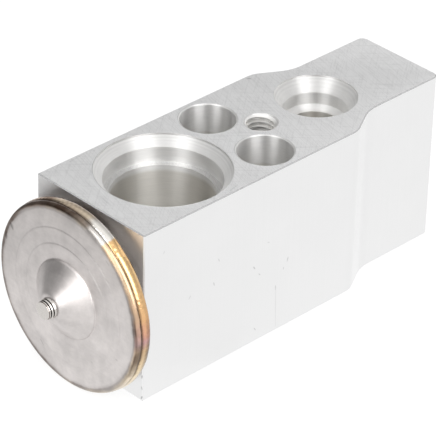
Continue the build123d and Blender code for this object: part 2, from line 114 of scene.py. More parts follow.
class Graph:
    """Adds nodes to one tree and links them as they are added."""

    def __init__(self, tree: bpy.types.NodeTree) -> None:
        """Work on a shader or geometry tree."""
        self.tree = tree

    def feed(self, socket: Socket, value: Term) -> None:
        """Link a socket to another socket, or set its own value.

        Args:
            socket: The input to feed.
            value: An output socket, or a number, vector or colour.
        """
        if isinstance(value, bpy.types.NodeSocket):
            self.tree.links.new(value, socket)
        elif socket.type == "RGBA":
            socket.default_value = (*value, 1.0)
        else:
            socket.default_value = value

    def add(self, kind: str, inputs: dict | None = None, **settings) -> bpy.types.Node:
        """Add a node.

        Args:
            kind: Blender's name of the node's type.
            inputs: What feeds each input, by the input's name or place.
            settings: Properties of the node itself.

        Returns:
            The new node.
        """
        node = self.tree.nodes.new(kind)
        for name, value in settings.items():
            setattr(node, name, value)
        for key, value in (inputs or {}).items():
            self.feed(node.inputs[key], value)
        return node

    def maths(self, operation: str, *terms: Term, clamp: bool = False) -> Socket:
        """Add a Math node, its result held between 0 and 1 where clamp is set."""
        inputs = dict(enumerate(terms))
        return self.add("ShaderNodeMath", inputs, operation=operation, use_clamp=clamp).outputs[0]

    def product(self, *terms: Term) -> Socket:
        """Multiply any number of values."""
        return reduce(lambda left, right: self.maths("MULTIPLY", left, right), terms)

    def total(self, *terms: Term) -> Socket:
        """Add any number of values up."""
        return reduce(lambda left, right: self.maths("ADD", left, right), terms)

    def minus(self, value: Term, taken: Term) -> Socket:
        """Take one value from another."""
        return self.maths("SUBTRACT", value, taken)

    def vector(self, operation: str, *terms: Term, scale: Term | None = None) -> Socket:
        """Add a Vector Math node.

        Args:
            operation: The node's operation.
            terms: Its vector inputs in order.
            scale: The factor of the SCALE operation.

        Returns:
            The result, a number for a length or a dot product and a vector otherwise.
        """
        node = self.add("ShaderNodeVectorMath", dict(enumerate(terms)), operation=operation)
        if scale is not None:
            self.feed(node.inputs["Scale"], scale)
        is_number = operation in ("DOT_PRODUCT", "LENGTH", "DISTANCE")
        return node.outputs["Value" if is_number else "Vector"]

    def scaled(self, vector: Term, factor: Term) -> Socket:
        """Multiply a vector or colour by a number."""
        return self.vector("SCALE", vector, scale=factor)

    def parts(self, vector: Socket) -> Sequence[Socket]:
        """Split a vector into its three numbers."""
        return self.add("ShaderNodeSeparateXYZ", {0: vector}).outputs

    def join(self, x: Term, y: Term, z: Term) -> Socket:
        """Join three numbers into a vector."""
        return self.add("ShaderNodeCombineXYZ", {0: x, 1: y, 2: z}).outputs[0]

    def mix(self, factor: Term, low: Term, high: Term, kind: Mixed = Mixed.FLOAT) -> Socket:
        """Mix two values.

        Args:
            factor: 0 for the first value, 1 for the second.
            low: The first value.
            high: The second value.
            kind: What is mixed.

        Returns:
            The mixed value.
        """
        node = self.add("ShaderNodeMix", data_type=kind.name)
        sockets = {socket.identifier: socket for socket in node.inputs}
        self.feed(sockets["Factor_Float"], factor)
        self.feed(sockets[f"A_{kind.value}"], low)
        self.feed(sockets[f"B_{kind.value}"], high)
        return next(socket for socket in node.outputs if socket.identifier == f"Result_{kind.value}")

    def rise(self, value: Term, start: float, end: float) -> Socket:
        """Go smoothly from 0 to 1 as a value goes from start to end.

        Args:
            value: The value that is tested.
            start: Where the result is 0.
            end: Where the result is 1, which may be below start.

        Returns:
            The mask.
        """
        limits, results = ((start, end), (0.0, 1.0)) if start < end else ((end, start), (1.0, 0.0))
        labels = ("From Min", "From Max", "To Min", "To Max")
        inputs = {"Value": value, **dict(zip(labels, limits + results))}
        return self.add("ShaderNodeMapRange", inputs, interpolation_type="SMOOTHSTEP").outputs["Result"]

    def noise(self, vector: Term, scale: Term, detail: float = 2.0, rough: float = 0.5) -> Socket:
        """Add a noise texture.

        Args:
            vector: The place that it is read at.
            scale: Its repeats per unit of that place.
            detail: The number of finer layers.
            rough: How strong the finer layers are.

        Returns:
            The noise, about 0.5 on average.
        """
        inputs = {"Vector": vector, "Scale": scale, "Detail": detail, "Roughness": rough}
        return self.add("ShaderNodeTexNoise", inputs).outputs[0]

    def ramp(self, factor: Term, stops: Stops) -> Socket:
        """Add a colour ramp.

        Args:
            factor: The place on the ramp, 0 to 1.
            stops: Each stop's place, and its colour or the level of its grey, in order.

        Returns:
            The colour.
        """
        node = self.add("ShaderNodeValToRGB", {"Fac": factor})
        elements = node.color_ramp.elements
        while len(elements) < len(stops):
            elements.new(0.5)
        for element, (place, colour) in zip(elements, stops):
            element.position = place
            element.color = (*(grey(colour) if isinstance(colour, float) else colour), 1.0)
        return node.outputs["Color"]

    def normal(self) -> Socket:
        """Give the surface's own normal."""
        return self.add("ShaderNodeNewGeometry").outputs["Normal"]

    def seen_directly(self) -> Socket:
        """Give the mask of what the camera sees itself and not by reflection."""
        path = self.add("ShaderNodeLightPath").outputs
        return self.maths("MAXIMUM", path["Is Camera Ray"], path["Is Transmission Ray"])


def new_group(
    name: str, inputs: dict[str, str], outputs: dict[str, str]
) -> tuple[Graph, Sequence[Socket], Sequence[Socket]]:
    """Start a shader node group.

    Args:
        name: The group's name.
        inputs: The socket kind, Float, Vector or Color, of each named input.
        outputs: The same for the outputs.

    Returns:
        The graph to build on, the sockets that bring the inputs, and those that take the outputs.
    """
    tree = bpy.data.node_groups.new(name, "ShaderNodeTree")
    for side, sockets in (("INPUT", inputs), ("OUTPUT", outputs)):
        for label, kind in sockets.items():
            tree.interface.new_socket(name=label, in_out=side, socket_type=f"NodeSocket{kind}")
    graph = Graph(tree)
    return graph, graph.add("NodeGroupInput").outputs, graph.add("NodeGroupOutput").inputs


@cache
def turned_lay() -> bpy.types.NodeTree:
    """Build the lay of a tool that goes round an axis.

    Returns:
        A group that takes a place, a centre, an axis and how far the feed runs outwards rather
        than along, and gives the distance from the axis and a pattern coordinate that runs fast
        across the cuts and slowly along them.
    """
    graph, given, out = new_group(
        "turned lay",
        {"Place": "Vector", "Centre": "Vector", "Axis": "Vector", "Outward": "Float", "Drift": "Float"},
        {"Radius": "Float", "Pattern": "Vector"},
    )
    arm = graph.vector("SUBTRACT", given["Place"], given["Centre"])
    height = graph.vector("DOT_PRODUCT", arm, given["Axis"])
    spoke = graph.vector("SUBTRACT", arm, graph.scaled(given["Axis"], height))
    radius = graph.vector("LENGTH", spoke)
    across = graph.scaled(given["Axis"], graph.mix(given["Outward"], height, radius))
    along = graph.scaled(graph.vector("NORMALIZE", spoke), given["Drift"])
    graph.feed(out["Radius"], radius)
    graph.feed(out["Pattern"], graph.vector("ADD", across, along))
    return graph.tree


@cache
def edge_wear_and_highlight() -> bpy.types.NodeTree:
    """Build the mask of rounded edges, for wear polished by handling and for painted highlights.

    Returns:
        A group that takes the width of the edge in metres and gives a mask, 1 at the edge.
    """
    graph, given, out = new_group("edge wear and highlight", {"Width": "Float", "Gain": "Float"}, {"Mask": "Float"})
    rounded = graph.add("ShaderNodeBevel", {"Radius": given["Width"]}, samples=6).outputs["Normal"]
    turn = graph.minus(1.0, graph.vector("DOT_PRODUCT", rounded, graph.normal()))
    graph.feed(out["Mask"], graph.maths("MULTIPLY", turn, given["Gain"], clamp=True))
    return graph.tree


@cache
def scratch() -> bpy.types.NodeTree:
    """Build the mask of one short scratch or nick.

    Returns:
        A group that takes a place, the scratch's start, how it runs and its half width, and gives
        a mask that is 1 on the line and fades over the half width.
    """
    graph, given, out = new_group(
        "scratch",
        {"Place": "Vector", "Start": "Vector", "Run": "Vector", "Width": "Float"},
        {"Mask": "Float"},
    )
    full, widest_at = 1.2, 0.4
    arm, run = graph.vector("SUBTRACT", given["Place"], given["Start"]), given["Run"]
    covered = graph.vector("DOT_PRODUCT", arm, run)
    share = graph.maths("DIVIDE", covered, graph.vector("DOT_PRODUCT", run, run), clamp=True)
    distance = graph.vector("DISTANCE", arm, graph.scaled(run, share))
    taper = graph.minus(full, graph.maths("ABSOLUTE", graph.minus(share, widest_at)))
    gone = graph.maths("DIVIDE", distance, graph.product(given["Width"], taper))
    graph.feed(out["Mask"], graph.maths("SUBTRACT", 1.0, gone, clamp=True))
    return graph.tree


@cache
def mottle() -> bpy.types.NodeTree:
    """Build soft blotches, such as handling leaves on bare metal.

    Returns:
        A group that takes a place, the blotches' repeats per metre and their contrast, and gives
        a mask.
    """
    graph, given, out = new_group(
        "mottle", {"Place": "Vector", "Repeats": "Float", "Contrast": "Float"}, {"Mask": "Float"}
    )
    cloud = graph.noise(given["Place"], given["Repeats"], 4.0, 0.6)
    swing = graph.product(graph.minus(cloud, 0.5), given["Contrast"])
    graph.feed(out["Mask"], graph.maths("ADD", swing, 0.5, clamp=True))
    return graph.tree


@cache
def hairlines() -> bpy.types.NodeTree:
    """Build fine scratches that all run one way, in broken lengths.

    Returns:
        A group that takes a place, the way that the scratches run, their spacing and how many of
        them show, and gives a mask.
    """
    graph, given, out = new_group(
        "hairlines",
        {"Place": "Vector", "Way": "Vector", "Spacing": "Float", "Share": "Float"},
        {"Mask": "Float"},
    )
    squeeze, bend, edge, most = 0.965, 0.6 * MM, 0.06, 0.8
    along = graph.vector("DOT_PRODUCT", given["Place"], given["Way"])
    squeezed = graph.scaled(given["Way"], graph.product(along, -squeeze))
    bent = graph.join(graph.product(graph.noise(given["Place"], 60.0, 1.0), bend), 0.0, 0.0)
    place = graph.vector("ADD", graph.vector("ADD", given["Place"], squeezed), bent)
    lines = graph.noise(place, graph.maths("DIVIDE", 1.0, given["Spacing"]), 1.0)
    above = graph.minus(lines, graph.minus(most, given["Share"]))
    graph.feed(out["Mask"], graph.maths("DIVIDE", above, edge, clamp=True))
    return graph.tree


# Stops of the ramps round the head: turns from the top over the right-hand side.
TINTS_ROUND = (
    (0.000, (0.80, 0.66, 0.50)), (0.033, (0.80, 0.68, 0.52)), (0.045, (0.92, 0.89, 0.84)),
    (0.083, (0.95, 0.92, 0.86)), (0.086, (0.88, 0.56, 0.26)), (0.150, (0.92, 0.62, 0.30)),
    (0.215, (0.88, 0.52, 0.26)), (0.240, (0.76, 0.40, 0.28)), (0.255, (0.68, 0.40, 0.40)),
    (0.270, (0.84, 0.58, 0.34)), (0.320, (0.88, 0.72, 0.48)), (0.390, (0.86, 0.78, 0.66)),
    (0.550, (0.72, 0.62, 0.52)), (0.800, (0.66, 0.54, 0.44)), (0.905, (0.40, 0.26, 0.17)),
    (0.945, (0.42, 0.27, 0.18)), (0.960, (0.78, 0.64, 0.48)), (1.000, (0.80, 0.66, 0.50)),
)  # fmt: skip
# How strongly the rim's oxide and painted shade show at each turn round the head.
OXIDE_AND_SHADE_ROUND = (
    (0.000, 0.95), (0.040, 0.90), (0.060, 0.40), (0.083, 0.35), (0.090, 0.45), (0.200, 0.60),
    (0.255, 0.95), (0.310, 0.90), (0.340, 0.50), (0.420, 0.55), (0.500, 0.80), (0.650, 0.70),
    (0.780, 0.80), (0.830, 1.00), (0.900, 0.80), (0.950, 1.00),
)  # fmt: skip
TOP_LOOK_ROUND = (
    (0.000, 1.0), (0.050, 1.0), (0.078, 0.0), (0.240, 0.0), (0.268, 0.85), (0.300, 0.85),
    (0.330, 0.0), (0.850, 0.0), (0.885, 1.0),
)  # fmt: skip
# Stops of the ramps over the rim's section: from the cap's face over its rounded edge and the seam
# to the bead, as most of the rim has them and as its top has. Oxide darkens the cap's rounded edge;
# the clear gaps paint highlights on that edge and on the bead's inner side, and the dark bands in
# the seam and on the bead's outer part and back are painted shade.
OXIDE_AND_SHADE_OVER = (
    (0.000, 0.0), (0.100, 0.06), (0.170, 0.3), (0.215, 0.9), (0.345, 0.85), (0.390, 0.1),
    (0.458, 0.05), (0.485, 0.95), (0.545, 0.85), (0.580, 0.0), (0.650, 0.0), (0.720, 0.5),
    (0.820, 0.6), (0.860, 1.0),
)  # fmt: skip
TOP_OXIDE_AND_SHADE_OVER = (
    (0.000, 0.0), (0.150, 0.05), (0.215, 0.35), (0.270, 0.2), (0.310, 0.6), (0.345, 0.95),
    (0.545, 0.95), (0.590, 0.4), (0.650, 0.2), (0.720, 0.5), (0.860, 1.0),
)  # fmt: skip


def turn_round_head(graph: Graph, place: Socket, wander: Term) -> Socket:
    """Measure the angle round the valve axis, from the top over the right-hand side.

    Args:
        graph: The graph to build on.
        place: The Object coordinates.
        wander: What is added to the angle, in radians.

    Returns:
        The angle in turns, 0 to 1.
    """
    _, y, z = graph.parts(place)
    angle = graph.maths("ARCTAN2", graph.product(y, -1.0), graph.minus(z, AXIS_HEIGHT * MM))
    return graph.maths("FRACT", graph.maths("DIVIDE", graph.total(angle, wander), TURN))


@cache
def heat_tint() -> bpy.types.NodeTree:
    """Build the oxide colours that welding left round the rim of the head.

    Returns:
        A group that takes a place and how far the colours wander, and gives the tint by its angle
        round the valve axis.
    """
    graph, given, out = new_group("heat tint", {"Place": "Vector", "Wander": "Float"}, {"Tint": "Color"})
    cloud = graph.minus(graph.noise(given["Place"], 420.0, 3.0), 0.5)
    turn = turn_round_head(graph, given["Place"], graph.product(cloud, given["Wander"]))
    graph.feed(out["Tint"], graph.ramp(turn, TINTS_ROUND))
    return graph.tree


@cache
def rim_oxide_and_shade() -> bpy.types.NodeTree:
    """Build the rim's oxide, with painted shade in the seam and under the bead and painted highlights.

    Returns:
        A group that takes a place, the height of the cap's face along the axis, and the radius at
        which the face ends, and gives a mask.
    """
    graph, given, out = new_group(
        "rim oxide and shade", {"Place": "Vector", "Face": "Float", "Rim": "Float"}, {"Mask": "Float"}
    )
    edge_width, before_edge, section_length, ragged = 0.95 * MM, 1.0 * MM, 6.0 * MM, 0.7 * MM
    x, y, z = graph.parts(given["Place"])
    radius = graph.vector("LENGTH", graph.join(0.0, y, graph.minus(z, AXIS_HEIGHT * MM)))
    past = graph.maths("MINIMUM", graph.minus(radius, given["Rim"]), edge_width)
    cloud = graph.minus(graph.noise(given["Place"], 300.0, 3.0), 0.5)
    way_round = graph.total(graph.minus(x, given["Face"]), past, graph.product(cloud, ragged), before_edge)
    section = graph.maths("DIVIDE", way_round, section_length, clamp=True)
    turn = turn_round_head(graph, given["Place"], graph.product(cloud, 0.5))
    top_share = graph.ramp(turn, TOP_LOOK_ROUND)
    band = graph.mix(top_share, graph.ramp(section, OXIDE_AND_SHADE_OVER), graph.ramp(section, TOP_OXIDE_AND_SHADE_OVER))
    mask = graph.product(band, graph.ramp(turn, OXIDE_AND_SHADE_ROUND))
    patchy = graph.total(graph.product(cloud, 1.2), 0.95)
    graph.feed(out["Mask"], graph.maths("MULTIPLY", mask, patchy, clamp=True))
    return graph.tree


@dataclass(frozen=True)
class Nick:
    """A scratch or nick, its start and run in millimetres."""

    start: Triple
    run: Triple
    half_width: float
    darkens: float


def nicks_on(axis: Axis, level: float, rows: Sequence[Sequence[float]]) -> tuple[Nick, ...]:
    """Place nicks on a face that stands square to an axis.

    Args:
        axis: The axis.
        level: Where the face lies along it.
        rows: Each nick's start in the face, how it runs, its half width and how much it darkens.

    Returns:
        The nicks.
    """
    nicks = []
    for *ends, half_width, darkens in rows:
        start, run = ends[:2], ends[2:]
        start.insert(axis.value.index(1.0), level)
        run.insert(axis.value.index(1.0), 0.0)
        nicks.append(Nick(tuple(start), tuple(run), half_width, darkens))
    return tuple(nicks)


def blank_graph(owner: bpy.types.Material | bpy.types.World) -> Graph:
    """Clear the nodes of a material or world.

    Args:
        owner: The material or world.

    Returns:
        Its graph.
    """
    owner.use_nodes = True
    owner.node_tree.nodes.clear()
    return Graph(owner.node_tree)


class Surface(Graph):
    """The graph of a material, round its Principled shader."""

    def __init__(self, name: str) -> None:
        """Start the material.

        Args:
            name: The material's name.
        """
        self.material = bpy.data.materials.new(name)
        super().__init__(blank_graph(self.material).tree)
        self.shader = self.add("ShaderNodeBsdfPrincipled")
        self.add("ShaderNodeOutputMaterial", {"Surface": self.shader.outputs[0]})
        self.place = self.add("ShaderNodeTexCoord").outputs["Object"]

    def effect(self, tree: bpy.types.NodeTree, **inputs: Term) -> Sequence[Socket]:
        """Place an effect group, fed with the Object coordinates if it takes a place.

        Args:
            tree: The group's tree.
            inputs: What feeds its other inputs, by their names in lower case.

        Returns:
            What the group gives.
        """
        node = self.add("ShaderNodeGroup", node_tree=tree)
        if "Place" in node.inputs:
            self.feed(node.inputs["Place"], self.place)
        for name, value in inputs.items():
            self.feed(node.inputs[name.capitalize()], value)
        return node.outputs

    def mask(self, tree: bpy.types.NodeTree, **inputs: Term) -> Socket:
        """Place an effect group and give its mask."""
        return self.effect(tree, **inputs)["Mask"]

    def spun(self, outward: float, drift: float) -> Sequence[Socket]:
        """Give the lay of a tool that went round the valve axis, its drift in millimetres."""
        inputs = {"centre": ON_AXIS, "axis": Axis.ALONG.value, "outward": outward, "drift": drift * MM}
        return self.effect(turned_lay(), **inputs)

    def mark(self, nicks: Sequence[Nick]) -> tuple[Term, Term]:
        """Work out what nicks do, in a chain of their own so that few values wait at once.

        Args:
            nicks: The nicks.

        Returns:
            The factor that darkens the colour, and how torn the surface is, 0 to 1.
        """
        shade, depth = 1.0, 0.0
        for nick in nicks:
            start, run = metres(nick.start), metres(nick.run)
            mask = self.mask(scratch(), start=start, run=run, width=nick.half_width * MM)
            shade = self.product(shade, self.mix(mask, 1.0, 1.0 - nick.darkens))
            depth = self.maths("MAXIMUM", depth, mask)
        return shade, depth

    def cut_direction(self, centre: Term, axis: Axis) -> Socket:
        """Give the way that a tool cut as it went round an axis through a centre."""
        arm = self.vector("SUBTRACT", self.place, centre)
        return self.vector("NORMALIZE", self.vector("CROSS_PRODUCT", axis.value, arm))

    def tangent(self, cut: Term) -> Socket:
        """Give the tangent that spreads highlights across the cuts."""
        return self.vector("NORMALIZE", self.vector("CROSS_PRODUCT", cut, self.normal()))

    def bump(self, height: Term, distance: float, strength: float = 1.0, soften: float = 0.0) -> Socket:
        """Turn a height into a normal.

        Args:
            height: The height.
            distance: How far a height of 1 stands out, in millimetres.
            strength: The share of it that shows.
            soften: How far edges are eased, in millimetres.

        Returns:
            The normal.
        """
        inputs = {"Height": height, "Strength": strength, "Distance": distance * MM}
        if soften:
            inputs["Normal"] = self.add("ShaderNodeBevel", {"Radius": soften * MM}, samples=8).outputs[0]
        return self.add("ShaderNodeBump", inputs).outputs[0]

    def finish(self, **inputs: Term) -> bpy.types.Material:
        """Feed the shader.

        Args:
            inputs: What feeds its inputs, their names written with underscores.

        Returns:
            The finished material.
        """
        for name, value in inputs.items():
            self.feed(self.shader.inputs[name.replace("_", " ").title()], value)
        return self.material


@dataclass(frozen=True)
class CutZone:
    """The walls, steps and chamfer that one turning tool left round an upright hole."""

    x: float
    y: float
    reach: float
    lowest: float
    highest: float = 36.0
    lip_width: float = 1.3
    ring_pitch: float = 0.42

    @property
    def centre(self) -> Triple:
        """Give the foot of the hole's axis, in metres."""
        return metres((self.x, self.y, 0.0))

    def find(self, graph: Surface) -> tuple[Socket, Socket]:
        """Find all that lies within the hole's chamfer, over the zone's range of heights.

        Its nodes are the material's own and no group, because the mask steers the tangent too.

        Args:
            graph: The material's graph.

        Returns:
            The mask, and another of the tool's rings on the outermost part of the chamfer.
        """
        arm = graph.vector("SUBTRACT", graph.place, self.centre)
        radius = graph.vector("LENGTH", graph.vector("MULTIPLY", arm, (1.0, 1.0, 0.0)))
        height = graph.parts(graph.place)[2]
        mask = graph.product(
            graph.maths("LESS_THAN", radius, self.reach * MM),
            graph.maths("GREATER_THAN", height, self.lowest * MM),
            graph.maths("LESS_THAN", height, self.highest * MM),
        )
        left = graph.maths("DIVIDE", graph.minus(self.reach * MM, radius), self.lip_width * MM)
        lip = graph.maths("SUBTRACT", 1.0, left, clamp=True)
        wave = graph.maths("SINE", graph.product(radius, TURN / (self.ring_pitch * MM)))
        return mask, graph.product(graph.total(graph.product(wave, 0.5), 0.5), lip, mask)


@dataclass(frozen=True)
class Scoring:
    """Fine scratches on the block's end faces that all run one way."""

    way: Triple
    spacing: float
    share: float
    darkens: float


@dataclass(frozen=True)
class BlockFinish:
    """Bare extruded aluminium with milled faces and turned bores."""

    name: str
    wall_colour: Triple
    face_colour: Triple
    bore_colour: Triple
    deep_shade_colour: Triple
    deep_end: float
    roughness: float
    end_roughness: float
    bore_roughness: float
    chamfer_roughness: float
    chamfer_metallic: float
    milling_centre: Triple
    scoring: tuple[Scoring, ...]
    zones: tuple[CutZone, ...]
    nicks: tuple[Nick, ...]
    fine_grain: float = 5200.0
    broad_grain: float = 900.0
    broad_share: float = 0.4
    draw_stretch: float = 0.012
    wall_swing: float = 0.03
    bore_swing: float = 0.09
    face_swing: float = 0.05
    broken_shade: float = 0.5
    broken_roughness: float = 0.6
    relief: float = 0.006
    anisotropy: float = 0.93

    def find_bores(self, graph: Surface) -> tuple[Term, Term, Term]:
        """Find what the turning tools left.

        Args:
            graph: The material's graph.

        Returns:
            The centre that the tool went round, and the masks of the bores and their rings.
        """
        centre, bored, rings = metres(self.milling_centre), 0.0, 0.0
        for zone in self.zones:
            mask, ringed = zone.find(graph)
            centre = graph.mix(mask, centre, zone.centre, Mixed.VECTOR)
            bored = graph.maths("MAXIMUM", bored, mask)
            rings = graph.maths("MAXIMUM", rings, ringed)
        return centre, bored, rings

    def material(self) -> bpy.types.Material:
        """Build the material.

        Returns:
            The material, which reads Object coordinates.
        """
        graph = Surface(self.name)
        normal = graph.parts(graph.normal())
        upright = graph.maths("ABSOLUTE", normal[2])
        face = graph.rise(upright, *SQUARE)
        ends = graph.rise(graph.maths("ABSOLUTE", normal[0]), *SQUARE)
        centre, bored, rings = self.find_bores(graph)
        outward, drift = graph.mix(bored, 1.0, 0.3), graph.mix(bored, 1.2 * MM, 0.6 * MM)
        inputs = {"centre": centre, "axis": Axis.UP.value, "outward": outward, "drift": drift}
        turned = graph.effect(turned_lay(), **inputs)
        tooled = graph.maths("MAXIMUM", face, bored)
        cut = graph.mix(tooled, Axis.UP.value, graph.cut_direction(centre, Axis.UP), Mixed.VECTOR)
        drawn = graph.vector("MULTIPLY", graph.place, (1.0, 1.0, self.draw_stretch))
        pattern = graph.mix(tooled, drawn, turned["Pattern"], Mixed.VECTOR)
        outside = graph.mix(face, self.wall_colour, self.face_colour, Mixed.RGBA)
        # Painted shade deep in the bores: below deep_end the colour goes to a darker, browner grey.
        deep = graph.rise(graph.parts(graph.place)[2], self.deep_end * MM, (self.deep_end - 1.0) * MM)
        inside = graph.mix(deep, self.bore_colour, self.deep_shade_colour, Mixed.RGBA)
        colour = graph.mix(bored, outside, inside, Mixed.RGBA)

        fine = graph.noise(pattern, self.fine_grain, 2.0, 0.6)
        marks = graph.mix(self.broad_share, fine, graph.noise(pattern, self.broad_grain, 3.0, 0.6))
        handled = graph.mask(mottle(), repeats=90.0, contrast=1.6)
        wear_and_highlight = graph.mask(edge_wear_and_highlight(), width=0.2 * MM, gain=2.0)
        swing = graph.total(
            graph.product(bored, self.bore_swing), graph.product(face, self.face_swing), self.wall_swing
        )
        shade = graph.product(
            graph.total(graph.product(swing, graph.minus(marks, 0.5), 2.0), 1.0),
            graph.mix(handled, graph.mix(tooled, 0.985, 0.95), graph.mix(tooled, 1.01, 1.04)),
            graph.mix(rings, 1.0, 0.86),
        )
        depth = 0.0
        for lot in self.scoring:
            lines = graph.mask(hairlines(), way=lot.way, spacing=lot.spacing * MM, share=lot.share)
            lines = graph.product(lines, face)
            shade = graph.product(shade, graph.mix(lines, 1.0, 1.0 - lot.darkens))
            depth = graph.maths("MAXIMUM", depth, graph.product(lines, 0.3))
        nicked, torn = graph.mark(self.nicks)
        # Painted shade on the edge breaks: their colour is darkened to take out the bright line that they
        # catch.
        broken = graph.product(graph.rise(upright, 0.1, 0.3), graph.minus(1.0, tooled))
        shade = graph.product(
            shade,
            nicked,
            graph.mix(broken, 1.0, self.broken_shade),
            # Edges: darker on the block's outer edges, and a painted highlight on the bore lips.
            graph.mix(wear_and_highlight, 1.0, graph.mix(bored, 0.5, 1.16)),
        )

        sloped = graph.product(graph.rise(upright, 0.15, 0.4), graph.minus(1.0, face))
        spread = graph.mix(ends, self.roughness, self.end_roughness)
        spread = graph.mix(broken, spread, self.broken_roughness)
        spread = graph.mix(bored, spread, graph.mix(sloped, self.bore_roughness, self.chamfer_roughness))
        spread = graph.product(spread, graph.mix(marks, 0.85, 1.15), graph.mix(torn, 1.0, 1.4))
        height = graph.total(graph.minus(marks, graph.product(depth, 2.0)), graph.product(rings, 2.2))
        return graph.finish(
            base_color=graph.scaled(colour, shade),
            roughness=spread,
            normal=graph.bump(height, self.relief),
            tangent=graph.tangent(cut),
            metallic=graph.mix(graph.product(bored, sloped), 1.0, self.chamfer_metallic),
            anisotropic=self.anisotropy,
        )


@dataclass(frozen=True)
class TurnedMetal:
    """A metal piece turned, drawn or rolled about the valve axis."""

    name: str
    colour: Triple
    roughness: float
    grain: float = 4000.0
    outward: float = 0.3
    anisotropy: float = 0.5
    depth: float = 0.005
    shade: float = 0.1
    groove_shade_radius: float = 0.0
    groove_shade_face: float = 0.0

    def material(self) -> bpy.types.Material:
        """Build the material.

        Returns:
            The material, which reads Object coordinates.
        """
        graph = Surface(self.name)
        turned = graph.spun(self.outward, 0.6)
        marks = graph.noise(turned["Pattern"], self.grain, 3.0, 0.6)
        handled = graph.mask(mottle(), repeats=260.0, contrast=1.8)
        wear_and_highlight = graph.mask(edge_wear_and_highlight(), width=0.2 * MM, gain=3.0)
        shade = graph.product(
            graph.mix(marks, 1.0 - self.shade, 1.0 + self.shade),
            graph.mix(handled, 0.94, 1.04),
            graph.mix(wear_and_highlight, 1.0, 1.15),
        )
        tone = graph.scaled(self.colour, shade)
        # Painted shade in the thread grooves: inside the given radius and behind the plug's face, the tone
        # goes to the dark oxide brown.
        if self.groove_shade_radius:
            sunk = graph.rise(turned["Radius"], (self.groove_shade_radius + 0.06) * MM, self.groove_shade_radius * MM)
            x = graph.parts(graph.place)[0]
            behind = graph.rise(x, self.groove_shade_face * MM, (self.groove_shade_face + 0.1) * MM)
            tone = graph.mix(graph.product(sunk, behind), tone, OXIDE_AND_SHADE, Mixed.VECTOR)
        return graph.finish(
            base_color=tone,
            roughness=graph.product(graph.mix(handled, 0.85, 1.2), self.roughness),
            normal=graph.bump(marks, self.depth),
            tangent=graph.tangent(graph.cut_direction(ON_AXIS, Axis.ALONG)),
            metallic=1.0,
            anisotropic=self.anisotropy,
        )


@dataclass(frozen=True)
class TintedSteel:
    """Sheet steel of the head, coloured by the heat of the rim weld."""

    name: str
    colour: Triple
    roughness: float
    tint_start: float
    tint_full: float
    tint_strength: float
    relief: float = 0.006
    soften: float = 0.0
    cone_roughness: float = 0.0
    cone_edge: float = 9.0
    upper_darkening: float = 0.0
    upper_lean: float = 0.35
    blotched: float = 0.06
    anisotropy: float = 0.35
    nicks: tuple[Nick, ...] = ()

    def material(self) -> bpy.types.Material:
        """Build the material.

        Returns:
            The material, which reads Object coordinates.
        """
        graph = Surface(self.name)
        spun = graph.spun(0.8, 0.8)
        marks = graph.noise(spun["Pattern"], 1800.0, 4.0, 0.65)
        rolled = graph.noise(graph.vector("MULTIPLY", graph.place, (1.0, 0.06, 1.0)), 2600.0, 3.0, 0.6)
        handled = graph.mask(mottle(), repeats=230.0, contrast=2.2)
        wear_and_highlight = graph.mask(edge_wear_and_highlight(), width=0.3 * MM, gain=2.5)
        tint = graph.effect(heat_tint(), wander=0.16)["Tint"]
        reach = graph.total(spun["Radius"], graph.product(graph.minus(handled, 0.5), 0.6 * MM))
        heat = graph.rise(reach, self.tint_start * MM, self.tint_full * MM)
        colour = graph.mix(graph.product(heat, self.tint_strength), self.colour, tint, Mixed.RGBA)
        nicked, torn = graph.mark(self.nicks)
        shade = graph.product(
            graph.mix(marks, 0.94, 1.06),
            graph.mix(rolled, 0.95, 1.05),
            graph.mix(handled, 1.0 - self.blotched, 1.0 + 0.8 * self.blotched),
            graph.mix(wear_and_highlight, 1.0, 1.04),
            nicked,
        )
        _, y, z = graph.parts(graph.place)
        # Darker and browner towards the top of the cap's outer part.
        upper_heights, upper_radii = (24.0 * MM, 36.0 * MM), (8.0 * MM, 17.0 * MM)
        upper = graph.rise(graph.minus(z, graph.product(y, self.upper_lean)), *upper_heights)
        outer = graph.rise(reach, *upper_radii)
        colour = graph.mix(graph.product(upper, outer, self.upper_darkening), colour, UPPER_TONE, Mixed.RGBA)
        # Rim oxide, with painted shade in the seam and under the bead and painted highlights in its gaps.
        oxide = graph.mask(rim_oxide_and_shade(), face=CAP_FACE * MM, rim=CAP_RIM * MM)
        colour = graph.mix(oxide, colour, OXIDE_AND_SHADE, Mixed.RGBA)
        cone = graph.rise(spun["Radius"], self.cone_edge * MM, (self.cone_edge - 0.6) * MM)
        roughness = graph.mix(cone, self.roughness, self.cone_roughness or self.roughness)
        height = graph.minus(graph.mix(0.5, marks, rolled), graph.product(torn, 2.0))
        return graph.finish(
            base_color=graph.scaled(colour, shade),
            roughness=graph.product(graph.mix(handled, 0.88, 1.12), roughness),
            normal=graph.bump(height, self.relief, soften=self.soften),
            tangent=graph.tangent(graph.cut_direction(ON_AXIS, Axis.ALONG)),
            metallic=1.0,
            anisotropic=self.anisotropy,
        )


@dataclass(frozen=True)
class MouldedFinish:
    """Moulded rubber or plastic with a faint grain."""

    name: str
    colour: Triple
    roughness: float
    speckle: float

    def material(self) -> bpy.types.Material:
        """Build the material.

        Returns:
            The material, which reads Object coordinates.
        """
        graph = Surface(self.name)
        dust = graph.mask(mottle(), repeats=900.0, contrast=2.2)
        shade = graph.mix(dust, 1.0 - self.speckle, 1.0 + self.speckle)
        grain = graph.noise(graph.place, 6000.0, 3.0, 0.6)
        return graph.finish(
            base_color=graph.scaled(self.colour, shade),
            roughness=graph.product(graph.mix(dust, 0.9, 1.1), self.roughness),
            normal=graph.bump(grain, 0.008, strength=0.6),
        )


# Dark oxide brown; it is also the colour of the painted shade on the rim and in the plug's grooves.
OXIDE_AND_SHADE = (0.09, 0.058, 0.042)
UPPER_TONE = (0.46, 0.41, 0.36)

